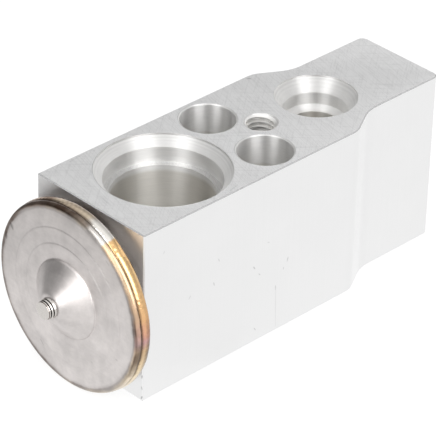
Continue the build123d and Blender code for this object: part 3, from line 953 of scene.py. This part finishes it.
# Rows of nicks: start in the face, run, half width and how much they darken.
SIDE_NICKS = (
    (-18.7, 17.9, 0.2, -0.7, 0.16, 0.27), (-17.6, 22.5, 0.2, -0.6, 0.14, 0.24),
    (-8.6, 16.8, 0.4, -0.6, 0.18, 0.31), (-7.2, 14.7, 0.4, -0.4, 0.15, 0.24),
    (0.35, 15.0, -0.2, -0.8, 0.15, 0.34), (-0.7, 13.3, -0.1, -0.5, 0.12, 0.27),
    (-5.2, 20.7, 0.5, -0.3, 0.12, 0.2), (-24.4, 17.6, -0.4, -0.5, 0.18, 0.17),
    (-31.0, 30.0, -0.2, -0.5, 0.14, 0.17), (-2.6, 9.1, 0.3, -8.3, 0.12, 0.12),
    (-2.7, 10.1, 0.1, -1.0, 0.14, 0.27), (-7.9, 3.0, 0.4, -0.6, 0.16, 0.24),
)  # fmt: skip
TOP_NICKS = (
    (15.9, 13.2, 0.3, -0.5, 0.3, 0.35), (-29.5, 13.0, 4.2, 0.4, 0.1, 0.16),
    (-32.9, 0.8, -0.6, -3.8, 0.1, 0.14), (-1.1, 8.2, -0.8, -4.0, 0.08, 0.12),
    (29.5, 1.0, -0.6, -2.4, 0.08, 0.12), (24.0, 8.3, 3.0, -0.2, 0.08, 0.12),
    (-14.4, -13.2, 2.4, 0.5, 0.12, 0.2), (-30.5, 11.4, -1.2, -7.0, 0.08, 0.12),
)  # fmt: skip
HEAD_NICKS = (
    (-13.9, 5.6, 0.1, -0.6, 0.22, 0.4), (-13.7, 3.1, -0.25, -0.7, 0.2, 0.3),
    (-13.9, 1.0, 0.2, -0.5, 0.26, 0.4),
)  # fmt: skip
CAP_NICKS = (
    (-1.8, 28.2, -0.5, -0.15, 0.14, 0.35), (-6.5, 7.5, -0.5, -0.2, 0.16, 0.3),
    (-12.9, 11.3, -0.5, -0.15, 0.14, 0.3), (-10.2, 30.8, -0.8, -0.6, 0.16, 0.25),
    (7.2, 5.2, -0.8, -0.9, 0.2, 0.25), (-14.5, 30.2, -0.3, -0.5, 0.18, 0.3),
    (0.3, 27.8, -0.8, 1.0, 0.14, 0.2), (16.4, 23.7, -0.1, -1.0, 0.42, 0.5),
    (15.0, 26.4, -0.5, -0.9, 0.5, 0.5), (2.0, 8.1, -1.6, -0.25, 0.12, 0.2),
    (-8.1, 13.3, -0.8, -0.45, 0.14, 0.2),
)  # fmt: skip

BLOCK_FINISH = BlockFinish(
    name="milled aluminium",
    wall_colour=(0.95, 0.95, 0.95),
    face_colour=(0.90, 0.90, 0.90),
    bore_colour=(0.84, 0.835, 0.825),
    deep_shade_colour=(0.68, 0.66, 0.62),
    deep_end=29.5,
    roughness=0.34,
    end_roughness=0.42,
    bore_roughness=0.46,
    chamfer_roughness=0.55,
    chamfer_metallic=0.72,
    milling_centre=(45.0, -10.0, 0.0),
    scoring=(
        Scoring((0.25, 0.97, 0.0), 0.14, 0.28, 0.07),
        Scoring((0.80, 0.60, 0.0), 0.22, 0.24, 0.06),
        Scoring((-0.70, 0.71, 0.0), 0.28, 0.20, 0.07),
    ),
    zones=(
        CutZone(-18.25, 0.0, 12.75, -1.0),
        CutZone(0.0, -7.5, 5.6, -1.0),
        CutZone(0.0, 7.5, 5.6, -1.0),
        CutZone(20.8, 0.0, 7.95, 15.0),
        CutZone(9.7, 0.0, 7.8, -1.0, 18.0),
        CutZone(6.4, 0.0, 3.35, 20.0),
    ),
    nicks=(
        *nicks_on(Axis.ACROSS, SIDE_FACE, SIDE_NICKS),
        *nicks_on(Axis.UP, TOP_FACE, TOP_NICKS),
        *nicks_on(Axis.ALONG, HEAD_FACE, HEAD_NICKS),
    ),
)
CAP_FINISH = TintedSteel(
    name="cap sheet steel",
    colour=(0.68, 0.643, 0.627),
    roughness=0.37,
    tint_start=17.4,
    tint_full=18.05,
    tint_strength=0.7,
    soften=0.45,
    cone_roughness=0.4,
    upper_darkening=0.12,
    blotched=0.18,
    nicks=nicks_on(Axis.ALONG, CAP_FACE, CAP_NICKS),
)
HEAD_FINISH = TintedSteel("head plate steel", (0.62, 0.58, 0.55), 0.34, 17.2, 18.2, 0.7)
BEAD_FINISH = TintedSteel("rim weld metal", (0.80, 0.70, 0.55), 0.2, 17.0, 17.6, 0.98, relief=0.0015)
PLUG_FINISH = TurnedMetal(
    "plug steel", (0.68, 0.65, 0.62), 0.24, groove_shade_radius=1.72, groove_shade_face=PLUG_FACE
)
THREAD_FINISH = TurnedMetal("cut thread", (0.93, 0.92, 0.90), 0.38)
PLATE_FINISH = TurnedMetal("stop plate brass", (0.80, 0.62, 0.33), 0.28, outward=0.8)
SHAFT_FINISH = TurnedMetal("sensing shaft aluminium", (0.86, 0.86, 0.85), 0.25)
ROD_FINISH = TurnedMetal("push rod steel", (0.60, 0.59, 0.58), 0.16)
BALL_FINISH = TurnedMetal("ball steel", (0.58, 0.58, 0.58), 0.06, depth=0.0005, shade=0.02)
CARRIER_FINISH = TurnedMetal("carrier brass", (0.82, 0.64, 0.35), 0.24)
SPRING_FINISH = TurnedMetal("spring steel", (0.55, 0.53, 0.51), 0.25, grain=1500.0)
SCREW_FINISH = TurnedMetal("adjusting screw steel", (0.66, 0.65, 0.63), 0.28)
BACKUP_FINISH = MouldedFinish("backup washer plastic", (0.86, 0.85, 0.81), 0.45, 0.03)
SEAL_FINISH = MouldedFinish("seal rubber", (0.022, 0.023, 0.024), 0.42, 0.25)


def on_axis(x: float) -> Matrix:
    """Give the matrix that lays a mesh on the valve axis from X on, its own Z, X and Y to X, Y and Z."""
    turn = Matrix(((0, 0, 1, 0), (1, 0, 0, 0), (0, 1, 0, 0), (0, 0, 0, 1)))
    return Matrix.Translation(metres((x, 0.0, AXIS_HEIGHT))) @ turn


@dataclass(frozen=True)
class Bend:
    """The two bodies round a springy piece: the first before the start, the second after the end."""

    first: str
    second: str
    start: Triple
    end: Triple


def finish_piece(
    name: str,
    mesh: bpy.types.Mesh,
    place: Matrix,
    body: str | Bend,
    replaces: Sequence[str] = (),
) -> None:
    """Put a mesh into the scene as a piece of the valve.

    Args:
        name: The piece's name.
        mesh: Its mesh, about the origin.
        place: Where the mesh goes.
        body: The body that carries it, or a Bend, for which the piece is left unparented where it lies.
        replaces: The nodes that it stands for.
    """
    mesh.name = name
    mesh.transform(place)
    shape = bmesh.new()
    shape.from_mesh(mesh)
    bmesh.ops.remove_doubles(shape, verts=shape.verts, dist=1e-7)
    bmesh.ops.dissolve_degenerate(shape, edges=shape.edges, dist=1e-8)
    bmesh.ops.recalc_face_normals(shape, faces=shape.faces)
    shape.to_mesh(mesh)
    shape.free()
    mesh.shade_smooth()
    mesh.set_sharp_from_angle(angle=math.radians(35))
    piece = bpy.data.objects.new(name, mesh)
    bpy.context.scene.collection.objects.link(piece)
    if isinstance(body, Bend):
        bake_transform(piece)
    else:
        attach(piece, body)
    if replaces:
        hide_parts(*replaces)
    log.info("%s: %d faces", name, len(mesh.polygons))


def dress(finishes: dict[str, bpy.types.Material]) -> None:
    """Give nodes of the frame their materials.

    Args:
        finishes: The material of each named node.
    """
    for node, material in finishes.items():
        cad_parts[node].material_slots[0].material = material
        log.info("%s: %s", node, material.name)


class ShapeTree:
    """A Geometry Nodes tree that bends a flat grid into a shape by a rule, with named sizes."""

    def __init__(self, name: str, sizes: dict[str, float], columns: int) -> None:
        """Start the tree.

        Args:
            name: The tree's name.
            sizes: Its named inputs and their values, with Steps for the steps along the grid.
            columns: The number of points across it, the last on the first.
        """
        self.name = name
        self.sizes = sizes
        self.tree = bpy.data.node_groups.new(name, "GeometryNodeTree")
        kinds = {"Geometry": "Geometry", **dict.fromkeys(sizes, "Float"), "Material": "Material"}
        new_socket = self.tree.interface.new_socket
        self.identifiers = {
            label: new_socket(name=label, in_out="INPUT", socket_type=f"NodeSocket{kind}").identifier
            for label, kind in kinds.items()
        }
        new_socket(name="Geometry", in_out="OUTPUT", socket_type="NodeSocketGeometry")
        self.graph = Graph(self.tree)
        graph = self.graph
        self.given = graph.add("NodeGroupInput").outputs
        rows = graph.total(self.given["Steps"], 1.0)
        inputs = {"Size X": 1.0, "Size Y": 1.0, "Vertices X": rows, "Vertices Y": columns}
        self.grid = graph.add("GeometryNodeMeshGrid", inputs).outputs["Mesh"]
        x, y, _ = graph.parts(graph.add("GeometryNodeInputPosition").outputs[0])
        self.along = graph.total(x, 0.5)
        self.across = graph.product(graph.total(y, 0.5), columns - 1.0)

    def bake(self, radius: Term, angle: Term, height: Term, material: bpy.types.Material) -> bpy.types.Mesh:
        """Finish the tree with the place of each point, run it on an empty mesh and keep the result.

        Args:
            radius: The point's distance from the local Z axis, in metres.
            angle: Its angle round that axis, in radians.
            height: Its height, in metres.
            material: The finish that the tree sets.

        Returns:
            A plain mesh.
        """
        graph = self.graph
        x, y = (graph.product(radius, graph.maths(kind, angle)) for kind in ("COSINE", "SINE"))
        geometry = self.grid
        for kind, inputs in (
            ("SetPosition", {"Position": graph.join(x, y, height)}),
            ("MergeByDistance", {"Distance": 2e-7}),
            ("RealizeInstances", {}),
            ("SetMaterial", {"Material": self.given["Material"]}),
        ):
            geometry = graph.add(f"GeometryNode{kind}", {"Geometry": geometry, **inputs}).outputs[0]
        graph.add("NodeGroupOutput", {"Geometry": geometry})

        carrier = bpy.data.objects.new(self.name, bpy.data.meshes.new(self.name))
        bpy.context.scene.collection.objects.link(carrier)
        modifier = carrier.modifiers.new(self.name, "NODES")
        modifier.node_group = self.tree
        for label, value in {**self.sizes, "Material": material}.items():
            modifier[self.identifiers[label]] = value
        bpy.context.view_layer.update()
        evaluated = carrier.evaluated_get(bpy.context.evaluated_depsgraph_get())
        mesh = bpy.data.meshes.new_from_object(evaluated)
        carrier.modifiers.remove(modifier)
        bpy.data.objects.remove(carrier)
        return mesh


@dataclass
class ThreadRidge:
    """One start of a right-hand thread: a ridge wound on a wall, running out to nothing at both ends."""

    name: str
    wall_radius: float
    crest_radius: float
    length: float
    root_width: float
    crest_width: float
    pitch: float = 1.0
    run_out: float = 0.35
    sink: float = 0.04
    steps_per_turn: int = 72

    def mesh(self, material: bpy.types.Material) -> bpy.types.Mesh:
        """Wind the ridge about the local Z axis, from Z 0 upwards.

        Args:
            material: The thread's finish.

        Returns:
            The mesh, in metres.
        """
        turns = self.length / self.pitch
        inward = self.crest_radius < self.wall_radius
        sizes = {
            "Wall Radius": (self.wall_radius + (self.sink if inward else -self.sink)) * MM,
            "Crest Radius": self.crest_radius * MM,
            "Pitch": self.pitch * MM,
            "Turns": turns,
            "Root Width": self.root_width * MM,
            "Crest Width": self.crest_width * MM,
            "Run Out": self.run_out,
            "Steps": float(round(turns * self.steps_per_turn)),
        }
        # Across the ridge lie its near root, near crest, far crest and far root, and the first again.
        tree = ShapeTree(self.name, sizes, columns=5)
        graph, given = tree.graph, tree.given
        turn = graph.product(tree.along, given["Turns"])
        left = graph.minus(given["Turns"], turn)
        grown = graph.maths("DIVIDE", graph.maths("MINIMUM", turn, left), given["Run Out"], clamp=True)
        on_crest = graph.maths("COMPARE", tree.across, 1.5, 0.75)
        far_side = graph.maths("COMPARE", tree.across, 2.5, 0.75)
        width = graph.mix(on_crest, given["Root Width"], given["Crest Width"])
        offset = graph.product(width, graph.minus(far_side, 0.5), grown)
        rise = graph.minus(given["Crest Radius"], given["Wall Radius"])
        radius = graph.total(given["Wall Radius"], graph.product(rise, on_crest, grown))
        height = graph.total(graph.product(turn, given["Pitch"]), offset)
        return tree.bake(radius, graph.product(turn, TURN), height, material)


@dataclass
class WeldBead:
    """The rippled bead round the rim of the head, its end lapped over its start."""

    seam_radius: float = 18.07
    crown_radius: float = 18.66
    low: float = 2.2
    high: float = 4.45
    ripples: int = 118
    ripple_depth: float = 0.014
    ripple_bow: float = 1.8
    lap_turn: float = 0.083
    wander_repeats: float = 4.0
    back_share: float = 0.12
    steps: int = 944
    section_points: int = 17

    def mesh(self, material: bpy.types.Material) -> bpy.types.Mesh:
        """Lay the bead about the local Z axis, which points away from the head.

        Args:
            material: The bead's finish.

        Returns:
            The mesh, in metres.
        """
        sizes = {
            "Seam Radius": self.seam_radius * MM,
            "Crown": (self.crown_radius - self.seam_radius) * MM,
            "Middle": -0.5 * (self.low + self.high) * MM,
            "Half Width": 0.5 * (self.high - self.low) * MM,
            "Ripples": float(self.ripples),
            "Ripple Depth": self.ripple_depth * MM,
            "Ripple Bow": self.ripple_bow,
            "Lap": self.lap_turn,
            "Wander Repeats": self.wander_repeats,
            "Back Share": self.back_share,
            "Steps": float(self.steps),
        }
        tree = ShapeTree("rim bead", sizes, self.section_points)
        graph, given = tree.graph, tree.given
        spin = graph.product(tree.across, TURN / (self.section_points - 1))
        outwards, sideways = graph.maths("SINE", spin), graph.maths("COSINE", spin)
        swell = graph.maths("MAXIMUM", outwards, graph.product(outwards, given["Back Share"]))
        front = graph.maths("MAXIMUM", outwards, 0.0)
        turn = graph.maths("FRACT", graph.minus(tree.along, given["Lap"]))
        bow = graph.product(sideways, sideways, given["Ripple Bow"])
        phase = graph.product(given["Ripples"], graph.product(turn, TURN))
        wave = graph.maths("SINE", graph.total(phase, bow))
        angle = graph.product(tree.along, TURN)
        ring = graph.join(graph.maths("COSINE", angle), graph.maths("SINE", angle), 0.0)
        wander = graph.minus(graph.noise(ring, given["Wander Repeats"], 1.0), 0.5)
        grown = graph.total(graph.mix(graph.rise(turn, 0.9, 1.0), 0.9, 1.02), graph.product(wander, 0.12))
        crown = graph.product(given["Crown"], swell, grown)
        ripple = graph.product(wave, given["Ripple Depth"], front)
        shift = graph.product(wander, 0.3, given["Half Width"])
        radius = graph.total(given["Seam Radius"], crown, ripple)
        height = graph.total(given["Middle"], graph.product(sideways, given["Half Width"]), shift)
        return tree.bake(radius, angle, height, material)


@dataclass
class ValveBody:
    """The machined block with the threads that are cut into it."""

    clamp_line: float = 42.3
    clamp_radius: float = 3.0
    clamp_depth: float = 10.5
    screw_bore_start: float = 71.3
    screw_bore_radius: float = 6.0
    thread_depth: float = 0.54

    def build(self) -> None:
        """Dress the block and cut the threads of the clamp hole and the screw bore."""
        dress({"valve_block": BLOCK_FINISH.material()})
        clamp_end, bore_end = 0.1, 0.7
        clamp_start = self.clamp_depth - 0.9
        bore_start = HEAD_FACE + self.screw_bore_start + 0.2
        clamp = ThreadRidge(
            name="clamp_thread",
            wall_radius=self.clamp_radius,
            crest_radius=self.clamp_radius - self.thread_depth,
            length=clamp_start - clamp_end,
            root_width=0.86,
            crest_width=0.22,
        )
        bore = ThreadRidge(
            name="screw_bore_thread",
            wall_radius=self.screw_bore_radius,
            crest_radius=self.screw_bore_radius - self.thread_depth,
            length=TAIL_FACE - bore_end - bore_start,
            root_width=0.84,
            crest_width=0.2,
        )
        upright = Matrix.Translation(metres((HEAD_FACE + self.clamp_line, 0.0, TOP_FACE - clamp_start)))
        finish = THREAD_FINISH.material()
        finish_piece(clamp.name, clamp.mesh(finish), upright, "valve_body")
        finish_piece(bore.name, bore.mesh(finish), on_axis(bore_start), "valve_body")


@dataclass
class DiaphragmHead:
    """The welded head: flange, diaphragm, cap, plug and bead."""

    bead: WeldBead = field(default_factory=WeldBead)

    def build(self) -> None:
        """Dress the head and lay its weld bead."""
        dress(
            {
                "head_flange": HEAD_FINISH.material(),
                "diaphragm_cap": CAP_FINISH.material(),
                "charge_plug": PLUG_FINISH.material(),
            }
        )
        bead = self.bead.mesh(BEAD_FINISH.material())
        finish_piece("rim_bead", bead, on_axis(HEAD_FACE), "valve_body", ["rim_weld"])


@dataclass
class SuperheatCoil:
    """The superheat spring, in two halves, each with a Bend that names the bodies at its ends."""

    wire_radius: float = 0.5
    mean_radius: float = 3.1
    turns: float = 5.0
    first_angle: float = 0.25
    steps_per_turn: int = 60
    section_points: int = 17

    def half(self, name: str, first: float, length: float, material: bpy.types.Material) -> bpy.types.Mesh:
        """Wind half of the coil about the local Z axis, its ends ground flat.

        Args:
            name: The half's name.
            first: The turn of the whole coil that this half starts at.
            length: The whole coil's length in metres.
            material: The spring's finish.

        Returns:
            The mesh, in metres, with the whole coil's low end at Z 0.
        """
        sizes = {
            "Wire Radius": self.wire_radius * MM,
            "Mean Radius": self.mean_radius * MM,
            "Length": length,
            "Pitch": length / self.turns,
            "First Turn": first,
            "Turns": self.turns / 2,
            "First Angle": self.first_angle,
            "Steps": float(round(self.turns / 2 * self.steps_per_turn)),
        }
        tree = ShapeTree(name, sizes, self.section_points)
        graph, given = tree.graph, tree.given
        row = graph.product(tree.along, given["Steps"])
        nearest_end = graph.maths("MINIMUM", row, graph.minus(given["Steps"], row))
        wire = graph.product(given["Wire Radius"], graph.maths("MINIMUM", nearest_end, 1.0))
        wound = graph.minus(given["Steps"], 2.0)
        share = graph.maths("DIVIDE", graph.minus(row, 1.0), wound, clamp=True)
        turn = graph.total(given["First Turn"], graph.product(share, given["Turns"]))
        spin = graph.product(tree.across, TURN / (self.section_points - 1))
        radius = graph.total(given["Mean Radius"], graph.product(wire, graph.maths("COSINE", spin)))
        upwards = graph.product(wire, graph.maths("SINE", spin))
        height = graph.maths("MAXIMUM", graph.total(graph.product(turn, given["Pitch"]), upwards), 0.0)
        ground = graph.maths("MINIMUM", height, given["Length"])
        angle = graph.product(graph.total(turn, given["First Angle"]), TURN)
        return tree.bake(radius, angle, ground, material)

    def build(self, material: bpy.types.Material) -> None:
        """Wind both halves in the place of the node.

        Args:
            material: The spring's finish.
        """
        low, high = (corner[0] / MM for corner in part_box("superheat_spring"))
        bends_at = (low + self.wire_radius, (low + high) / 2, high - self.wire_radius)
        first, middle, last = (metres((x, 0.0, AXIS_HEIGHT)) for x in bends_at)
        for name, first_turn, bend in (
            ("superheat_spring_rod_half", 0.0, Bend("valve_rod", "valve_body", first, middle)),
            ("superheat_spring_screw_half", self.turns / 2, Bend("valve_body", "screw_seal", middle, last)),
        ):
            mesh = self.half(name, first_turn, (high - low) * MM, material)
            finish_piece(name, mesh, on_axis(low), bend, ["superheat_spring"])


@dataclass
class RodTrain:
    """What lies inside the block: plate, shaft, rod, ball, springs and seals."""

    coil: SuperheatCoil = field(default_factory=SuperheatCoil)

    def build(self) -> None:
        """Dress the inner pieces and wind the superheat spring."""
        spring, rubber = SPRING_FINISH.material(), SEAL_FINISH.material()
        self.coil.build(spring)
        dress(dict.fromkeys(("diaphragm", "damper_spring", "rod_seal_retainer"), spring))
        dress(dict.fromkeys(("rod_o_ring", "head_o_ring", "screw_o_ring"), rubber))
        dress(
            {
                "rod_backup_washer": BACKUP_FINISH.material(),
                "stop_plate": PLATE_FINISH.material(),
                "sensing_shaft": SHAFT_FINISH.material(),
                "push_rod": ROD_FINISH.material(),
                "valve_ball": BALL_FINISH.material(),
                "ball_carrier": CARRIER_FINISH.material(),
            }
        )


@dataclass
class AdjustingScrew:
    """The screw that sets the superheat spring, threaded, with a hexagon socket."""

    nose_start: float = 66.5
    spigot_length: float = 1.5
    spigot_radius: float = 2.3
    nose_radius: float = 4.95
    groove_start: float = 67.6
    groove_width: float = 1.8
    groove_depth: float = 1.5
    shoulder: float = 72.6
    end: float = 78.3
    root_radius: float = 5.38
    crest_radius: float = 5.93
    edge_break: float = 0.2
    thread_lead: float = 0.35
    key_size: float = 6.0
    key_depth: float = 5.0
    key_point: float = 0.9
    mouth_flare: float = 0.45
    mouth_depth: float = 0.12
    segments: int = 96

    def ring(self, shape: bmesh.types.BMesh, distance: float, radius: float, hexagon: bool = False) -> list:
        """Add one ring of points.

        Args:
            shape: The mesh being built.
            distance: Its place from the head end.
            radius: Its radius, or half its width across flats.
            hexagon: Whether it follows the key's hexagon.

        Returns:
            The new points in order.
        """
        points = []
        for step in range(self.segments):
            angle = TURN * step / self.segments
            reach = radius / math.cos(angle % (math.pi / 3) - math.pi / 6) if hexagon else radius
            point = (reach * math.cos(angle), reach * math.sin(angle), distance)
            points.append(shape.verts.new(metres(point)))
        return points

    def mesh(self, material: bpy.types.Material) -> bpy.types.Mesh:
        """Turn the screw's body about the local Z axis and sink its socket.

        Args:
            material: The screw's finish.

        Returns:
            The mesh, in metres.
        """
        tip, nose, eased = self.nose_start - self.spigot_length, self.nose_radius, self.edge_break
        groove_floor, groove_end = nose - self.groove_depth, self.groove_start + self.groove_width
        half_key, key_floor = self.key_size / 2, self.end - self.key_depth
        outline = (
            (tip, 0.9 * self.spigot_radius),
            (tip + eased, self.spigot_radius),
            (self.nose_start, self.spigot_radius),
            (self.nose_start, nose - eased),
            (self.nose_start + eased, nose),
            (self.groove_start, nose),
            (self.groove_start, groove_floor),
            (groove_end, groove_floor),
            (groove_end, nose),
            (self.shoulder, nose),
            (self.shoulder + self.thread_lead, self.root_radius),
            (self.end - self.thread_lead, self.root_radius),
            (self.end, self.root_radius - self.thread_lead),
            (self.end, half_key + self.mouth_flare),
            (self.end - self.mouth_depth, half_key + 0.02, True),
            (key_floor, half_key, True),
            (key_floor - 0.1, half_key - 0.4),
        )
        shape = bmesh.new()
        rings = [self.ring(shape, *point) for point in outline]
        steps = [(index, (index + 1) % self.segments) for index in range(self.segments)]
        for first, second in zip(rings, rings[1:]):
            for here, after in steps:
                shape.faces.new((first[here], first[after], second[after], second[here]))
        for ring, distance in ((rings[0], tip), (rings[-1], key_floor - self.key_point)):
            pole = shape.verts.new(metres((0.0, 0.0, distance)))
            for here, after in steps:
                shape.faces.new((ring[here], ring[after], pole))
        mesh = bpy.data.meshes.new("adjusting screw")
        shape.to_mesh(mesh)
        shape.free()
        mesh.materials.append(material)
        return mesh

    def build(self) -> None:
        """Make the screw and its thread."""
        finish, inset = SCREW_FINISH.material(), 0.4
        body, slot = "adjusting_screw", "screw_steel"
        screw = self.mesh(finish)
        finish_piece("adjusting_screw_body", screw, on_axis(HEAD_FACE), body, ["adjusting_screw"])
        ridge = ThreadRidge(
            name="adjusting_screw_thread",
            wall_radius=self.root_radius,
            crest_radius=self.crest_radius,
            length=self.end - self.shoulder - 2 * inset,
            root_width=0.8,
            crest_width=0.1,
        )
        finish_piece(ridge.name, ridge.mesh(finish), on_axis(HEAD_FACE + self.shoulder + inset), body)


def heading(bearing: float, elevation: float = 0.0) -> Vector:
    """Give the unit vector at a bearing from X towards Y and an elevation, both in degrees."""
    turn, lift = math.radians(bearing), math.radians(elevation)
    return Vector((math.cos(lift) * math.cos(turn), math.cos(lift) * math.sin(turn), math.sin(lift)))


@dataclass(frozen=True)
class SoftBox:
    """A square-cornered soft light, aimed at the valve and unseen by the camera."""

    name: str
    bearing: float
    elevation: float
    width: float
    height: float
    radiance: float
    distance: float = 1000.0

    def place(self) -> None:
        """Put the light into the scene."""
        lamp = bpy.data.lights.new(self.name, "AREA")
        lamp.shape = "RECTANGLE"
        lamp.size, lamp.size_y = self.width * MM, self.height * MM
        lamp.energy = self.radiance * math.pi * lamp.size * lamp.size_y
        light = bpy.data.objects.new(self.name, lamp)
        bpy.context.scene.collection.objects.link(light)
        away = heading(self.bearing, self.elevation)
        light.location = Vector(ON_AXIS) + away * self.distance * MM
        light.rotation_euler = away.to_track_quat("Z", "Y").to_euler()
        light.visible_camera = False


@dataclass(frozen=True)
class SkyPatch:
    """A darker or paler patch of the room, by its bearing, how squarely it is faced and its height."""

    bearing: float
    facing: tuple[float, float]
    heights: tuple[float, float]
    level: float


@dataclass(frozen=True)
class FloorWedge:
    """A wedge of floor that metal sees darker, opening one way from under the valve."""

    way: tuple[float, float]
    narrowing: float

    def measure(self, graph: Graph, place: Socket) -> Socket:
        """Measure how far a place lies inside the wedge.

        Args:
            graph: The floor's graph.
            place: The Object coordinates.

        Returns:
            The distance, in metres.
        """
        x, y = self.way
        ahead = graph.vector("DOT_PRODUCT", place, (x, y, 0.0))
        aside = graph.maths("ABSOLUTE", graph.vector("DOT_PRODUCT", place, (y, -x, 0.0)))
        return graph.minus(ahead, graph.product(aside, self.narrowing))


@dataclass
class Studio:
    """The camera, the pale floor and the soft lights."""

    camera_place: Triple = (-337.2, -334.9, 319.4)
    camera_heading: float = 45.11
    camera_drop: float = 32.51
    camera_roll: float = 1.577
    camera_lens: float = 248.1
    rim_drop: float = 1.1
    rim_distance: float = 82.8
    floor_half: float = 3000.0
    far_wedge: FloorWedge = FloorWedge((-0.66, 0.75), 0.6)
    near_wedge: FloorWedge = FloorWedge((-0.17, 0.985), 2.2)
    patches: tuple[SkyPatch, ...] = (
        SkyPatch(110.0, (0.45, 0.85), (0.66, 0.4), 0.24),
        SkyPatch(13.0, (0.5, 0.9), (0.5, 0.2), 1.25),
    )
    boxes: tuple[SoftBox, ...] = (
        SoftBox("head side soft box", 190.0, 32.0, 460.0, 1300.0, 2.5),
        SoftBox("right side soft box", 262.0, 35.0, 640.0, 1050.0, 2.8),
    )

    def set_camera(self) -> None:
        """Put the camera where the photograph was taken from."""
        data = bpy.data.cameras.new("camera")
        data.sensor_width = 36.0
        data.lens = self.camera_lens
        data.clip_start, data.clip_end = 0.01, 20.0
        camera = bpy.data.objects.new("camera", data)
        bpy.context.scene.collection.objects.link(camera)
        ahead = heading(self.camera_heading, -self.camera_drop)
        level = ahead.cross(Vector(Axis.UP.value)).normalized()
        right = Matrix.Rotation(-math.radians(self.camera_roll), 3, ahead) @ level
        turn = Matrix((right, right.cross(ahead), -ahead)).transposed()
        camera.matrix_world = Matrix.Translation(metres(self.camera_place)) @ turn.to_4x4()
        bpy.context.scene.camera = camera

    def lay_floor(self) -> None:
        """Lay the floor under the rim of the head and the tail's lower edge."""
        half, slope = self.floor_half, self.rim_drop / self.rim_distance
        square = ((-half, -half), (half, -half), (half, half), (-half, half))
        corners = [metres((x, y, (x - TAIL_FACE) * slope)) for x, y in square]
        mesh = bpy.data.meshes.new("floor")
        mesh.from_pydata(corners, [], [(0, 1, 2, 3)])
        floor = bpy.data.objects.new("floor", mesh)
        bpy.context.scene.collection.objects.link(floor)
        mesh.materials.append(self.floor_material())

    def floor_material(self) -> bpy.types.Material:
        """Build the floor's material.

        Returns:
            A material that is white to the camera apart from the valve's shadow, and that metal
            sees bright near the valve and darker behind it.
        """
        material = bpy.data.materials.new("studio floor")
        graph = blank_graph(material)
        place = graph.add("ShaderNodeTexCoord").outputs["Object"]
        far_start, far_gain, near_start, near_end = 0.030, 7.0, 0.02, 0.07
        behind = graph.minus(self.far_wedge.measure(graph, place), far_start)
        gone = graph.maths("MULTIPLY", behind, far_gain, clamp=True)
        level = graph.ramp(gone, ((0.0, 1.0), (0.3, 0.78), (0.8, 0.5), (1.0, 0.5)))
        near = graph.rise(self.near_wedge.measure(graph, place), near_start, near_end)
        level = graph.mix(near, level, grey(0.28), Mixed.RGBA)
        matt = graph.add("ShaderNodeBsdfDiffuse", {"Color": grey(0.8)}).outputs[0]
        faint = graph.add("ShaderNodeBsdfDiffuse", {"Color": grey(0.22)}).outputs[0]
        white = graph.add("ShaderNodeEmission", {"Color": grey(1.0), "Strength": 0.84}).outputs[0]
        seen_look = graph.add("ShaderNodeAddShader", {0: faint, 1: white}).outputs[0]
        mirrored = graph.add("ShaderNodeEmission", {"Color": level, "Strength": 1.0}).outputs[0]
        glossy = graph.add("ShaderNodeLightPath").outputs["Is Glossy Ray"]
        look = graph.add("ShaderNodeMixShader", {0: glossy, 1: matt, 2: mirrored}).outputs[0]
        seen = graph.seen_directly()
        look = graph.add("ShaderNodeMixShader", {0: seen, 1: look, 2: seen_look}).outputs[0]
        graph.add("ShaderNodeOutputMaterial", {"Surface": look})
        return material

    def light_world(self) -> None:
        """Light the room: white to the camera, and a soft grey that brightens overhead."""
        world = bpy.data.worlds.new("studio")
        bpy.context.scene.world = world
        graph = blank_graph(world)
        aim = graph.vector("NORMALIZE", graph.add("ShaderNodeTexCoord").outputs["Generated"])
        level_aim = graph.vector("NORMALIZE", graph.vector("MULTIPLY", aim, (1.0, 1.0, 0.0)))
        height = graph.parts(aim)[2]
        sky = graph.ramp(height, ((0.0, 0.85), (0.2, 0.74), (0.5, 0.63), (0.8, 0.85), (1.0, 1.0)))
        for patch in self.patches:
            facing = graph.vector("DOT_PRODUCT", level_aim, tuple(heading(patch.bearing)))
            share = graph.product(graph.rise(facing, *patch.facing), graph.rise(height, *patch.heights))
            sky = graph.mix(share, sky, grey(patch.level), Mixed.RGBA)
        colour = graph.mix(graph.seen_directly(), sky, grey(1.0), Mixed.RGBA)
        background = graph.add("ShaderNodeBackground", {"Color": colour, "Strength": 1.0}).outputs[0]
        graph.add("ShaderNodeOutputWorld", {"Surface": background})

    def build(self) -> None:
        """Set up camera, floor, lights and world."""
        self.set_camera()
        self.lay_floor()
        self.light_world()
        for box in self.boxes:
            box.place()
        bpy.context.scene.view_settings.view_transform = "Standard"


def main() -> None:
    """Build the scene."""
    logging.basicConfig(level=logging.INFO, format="%(name)s: %(message)s")
    bpy.context.view_layer.update()
    Studio().build()
    ValveBody().build()
    DiaphragmHead().build()
    RodTrain().build()
    AdjustingScrew().build()
    bpy.context.view_layer.update()


if __name__ == "__main__":
    main()
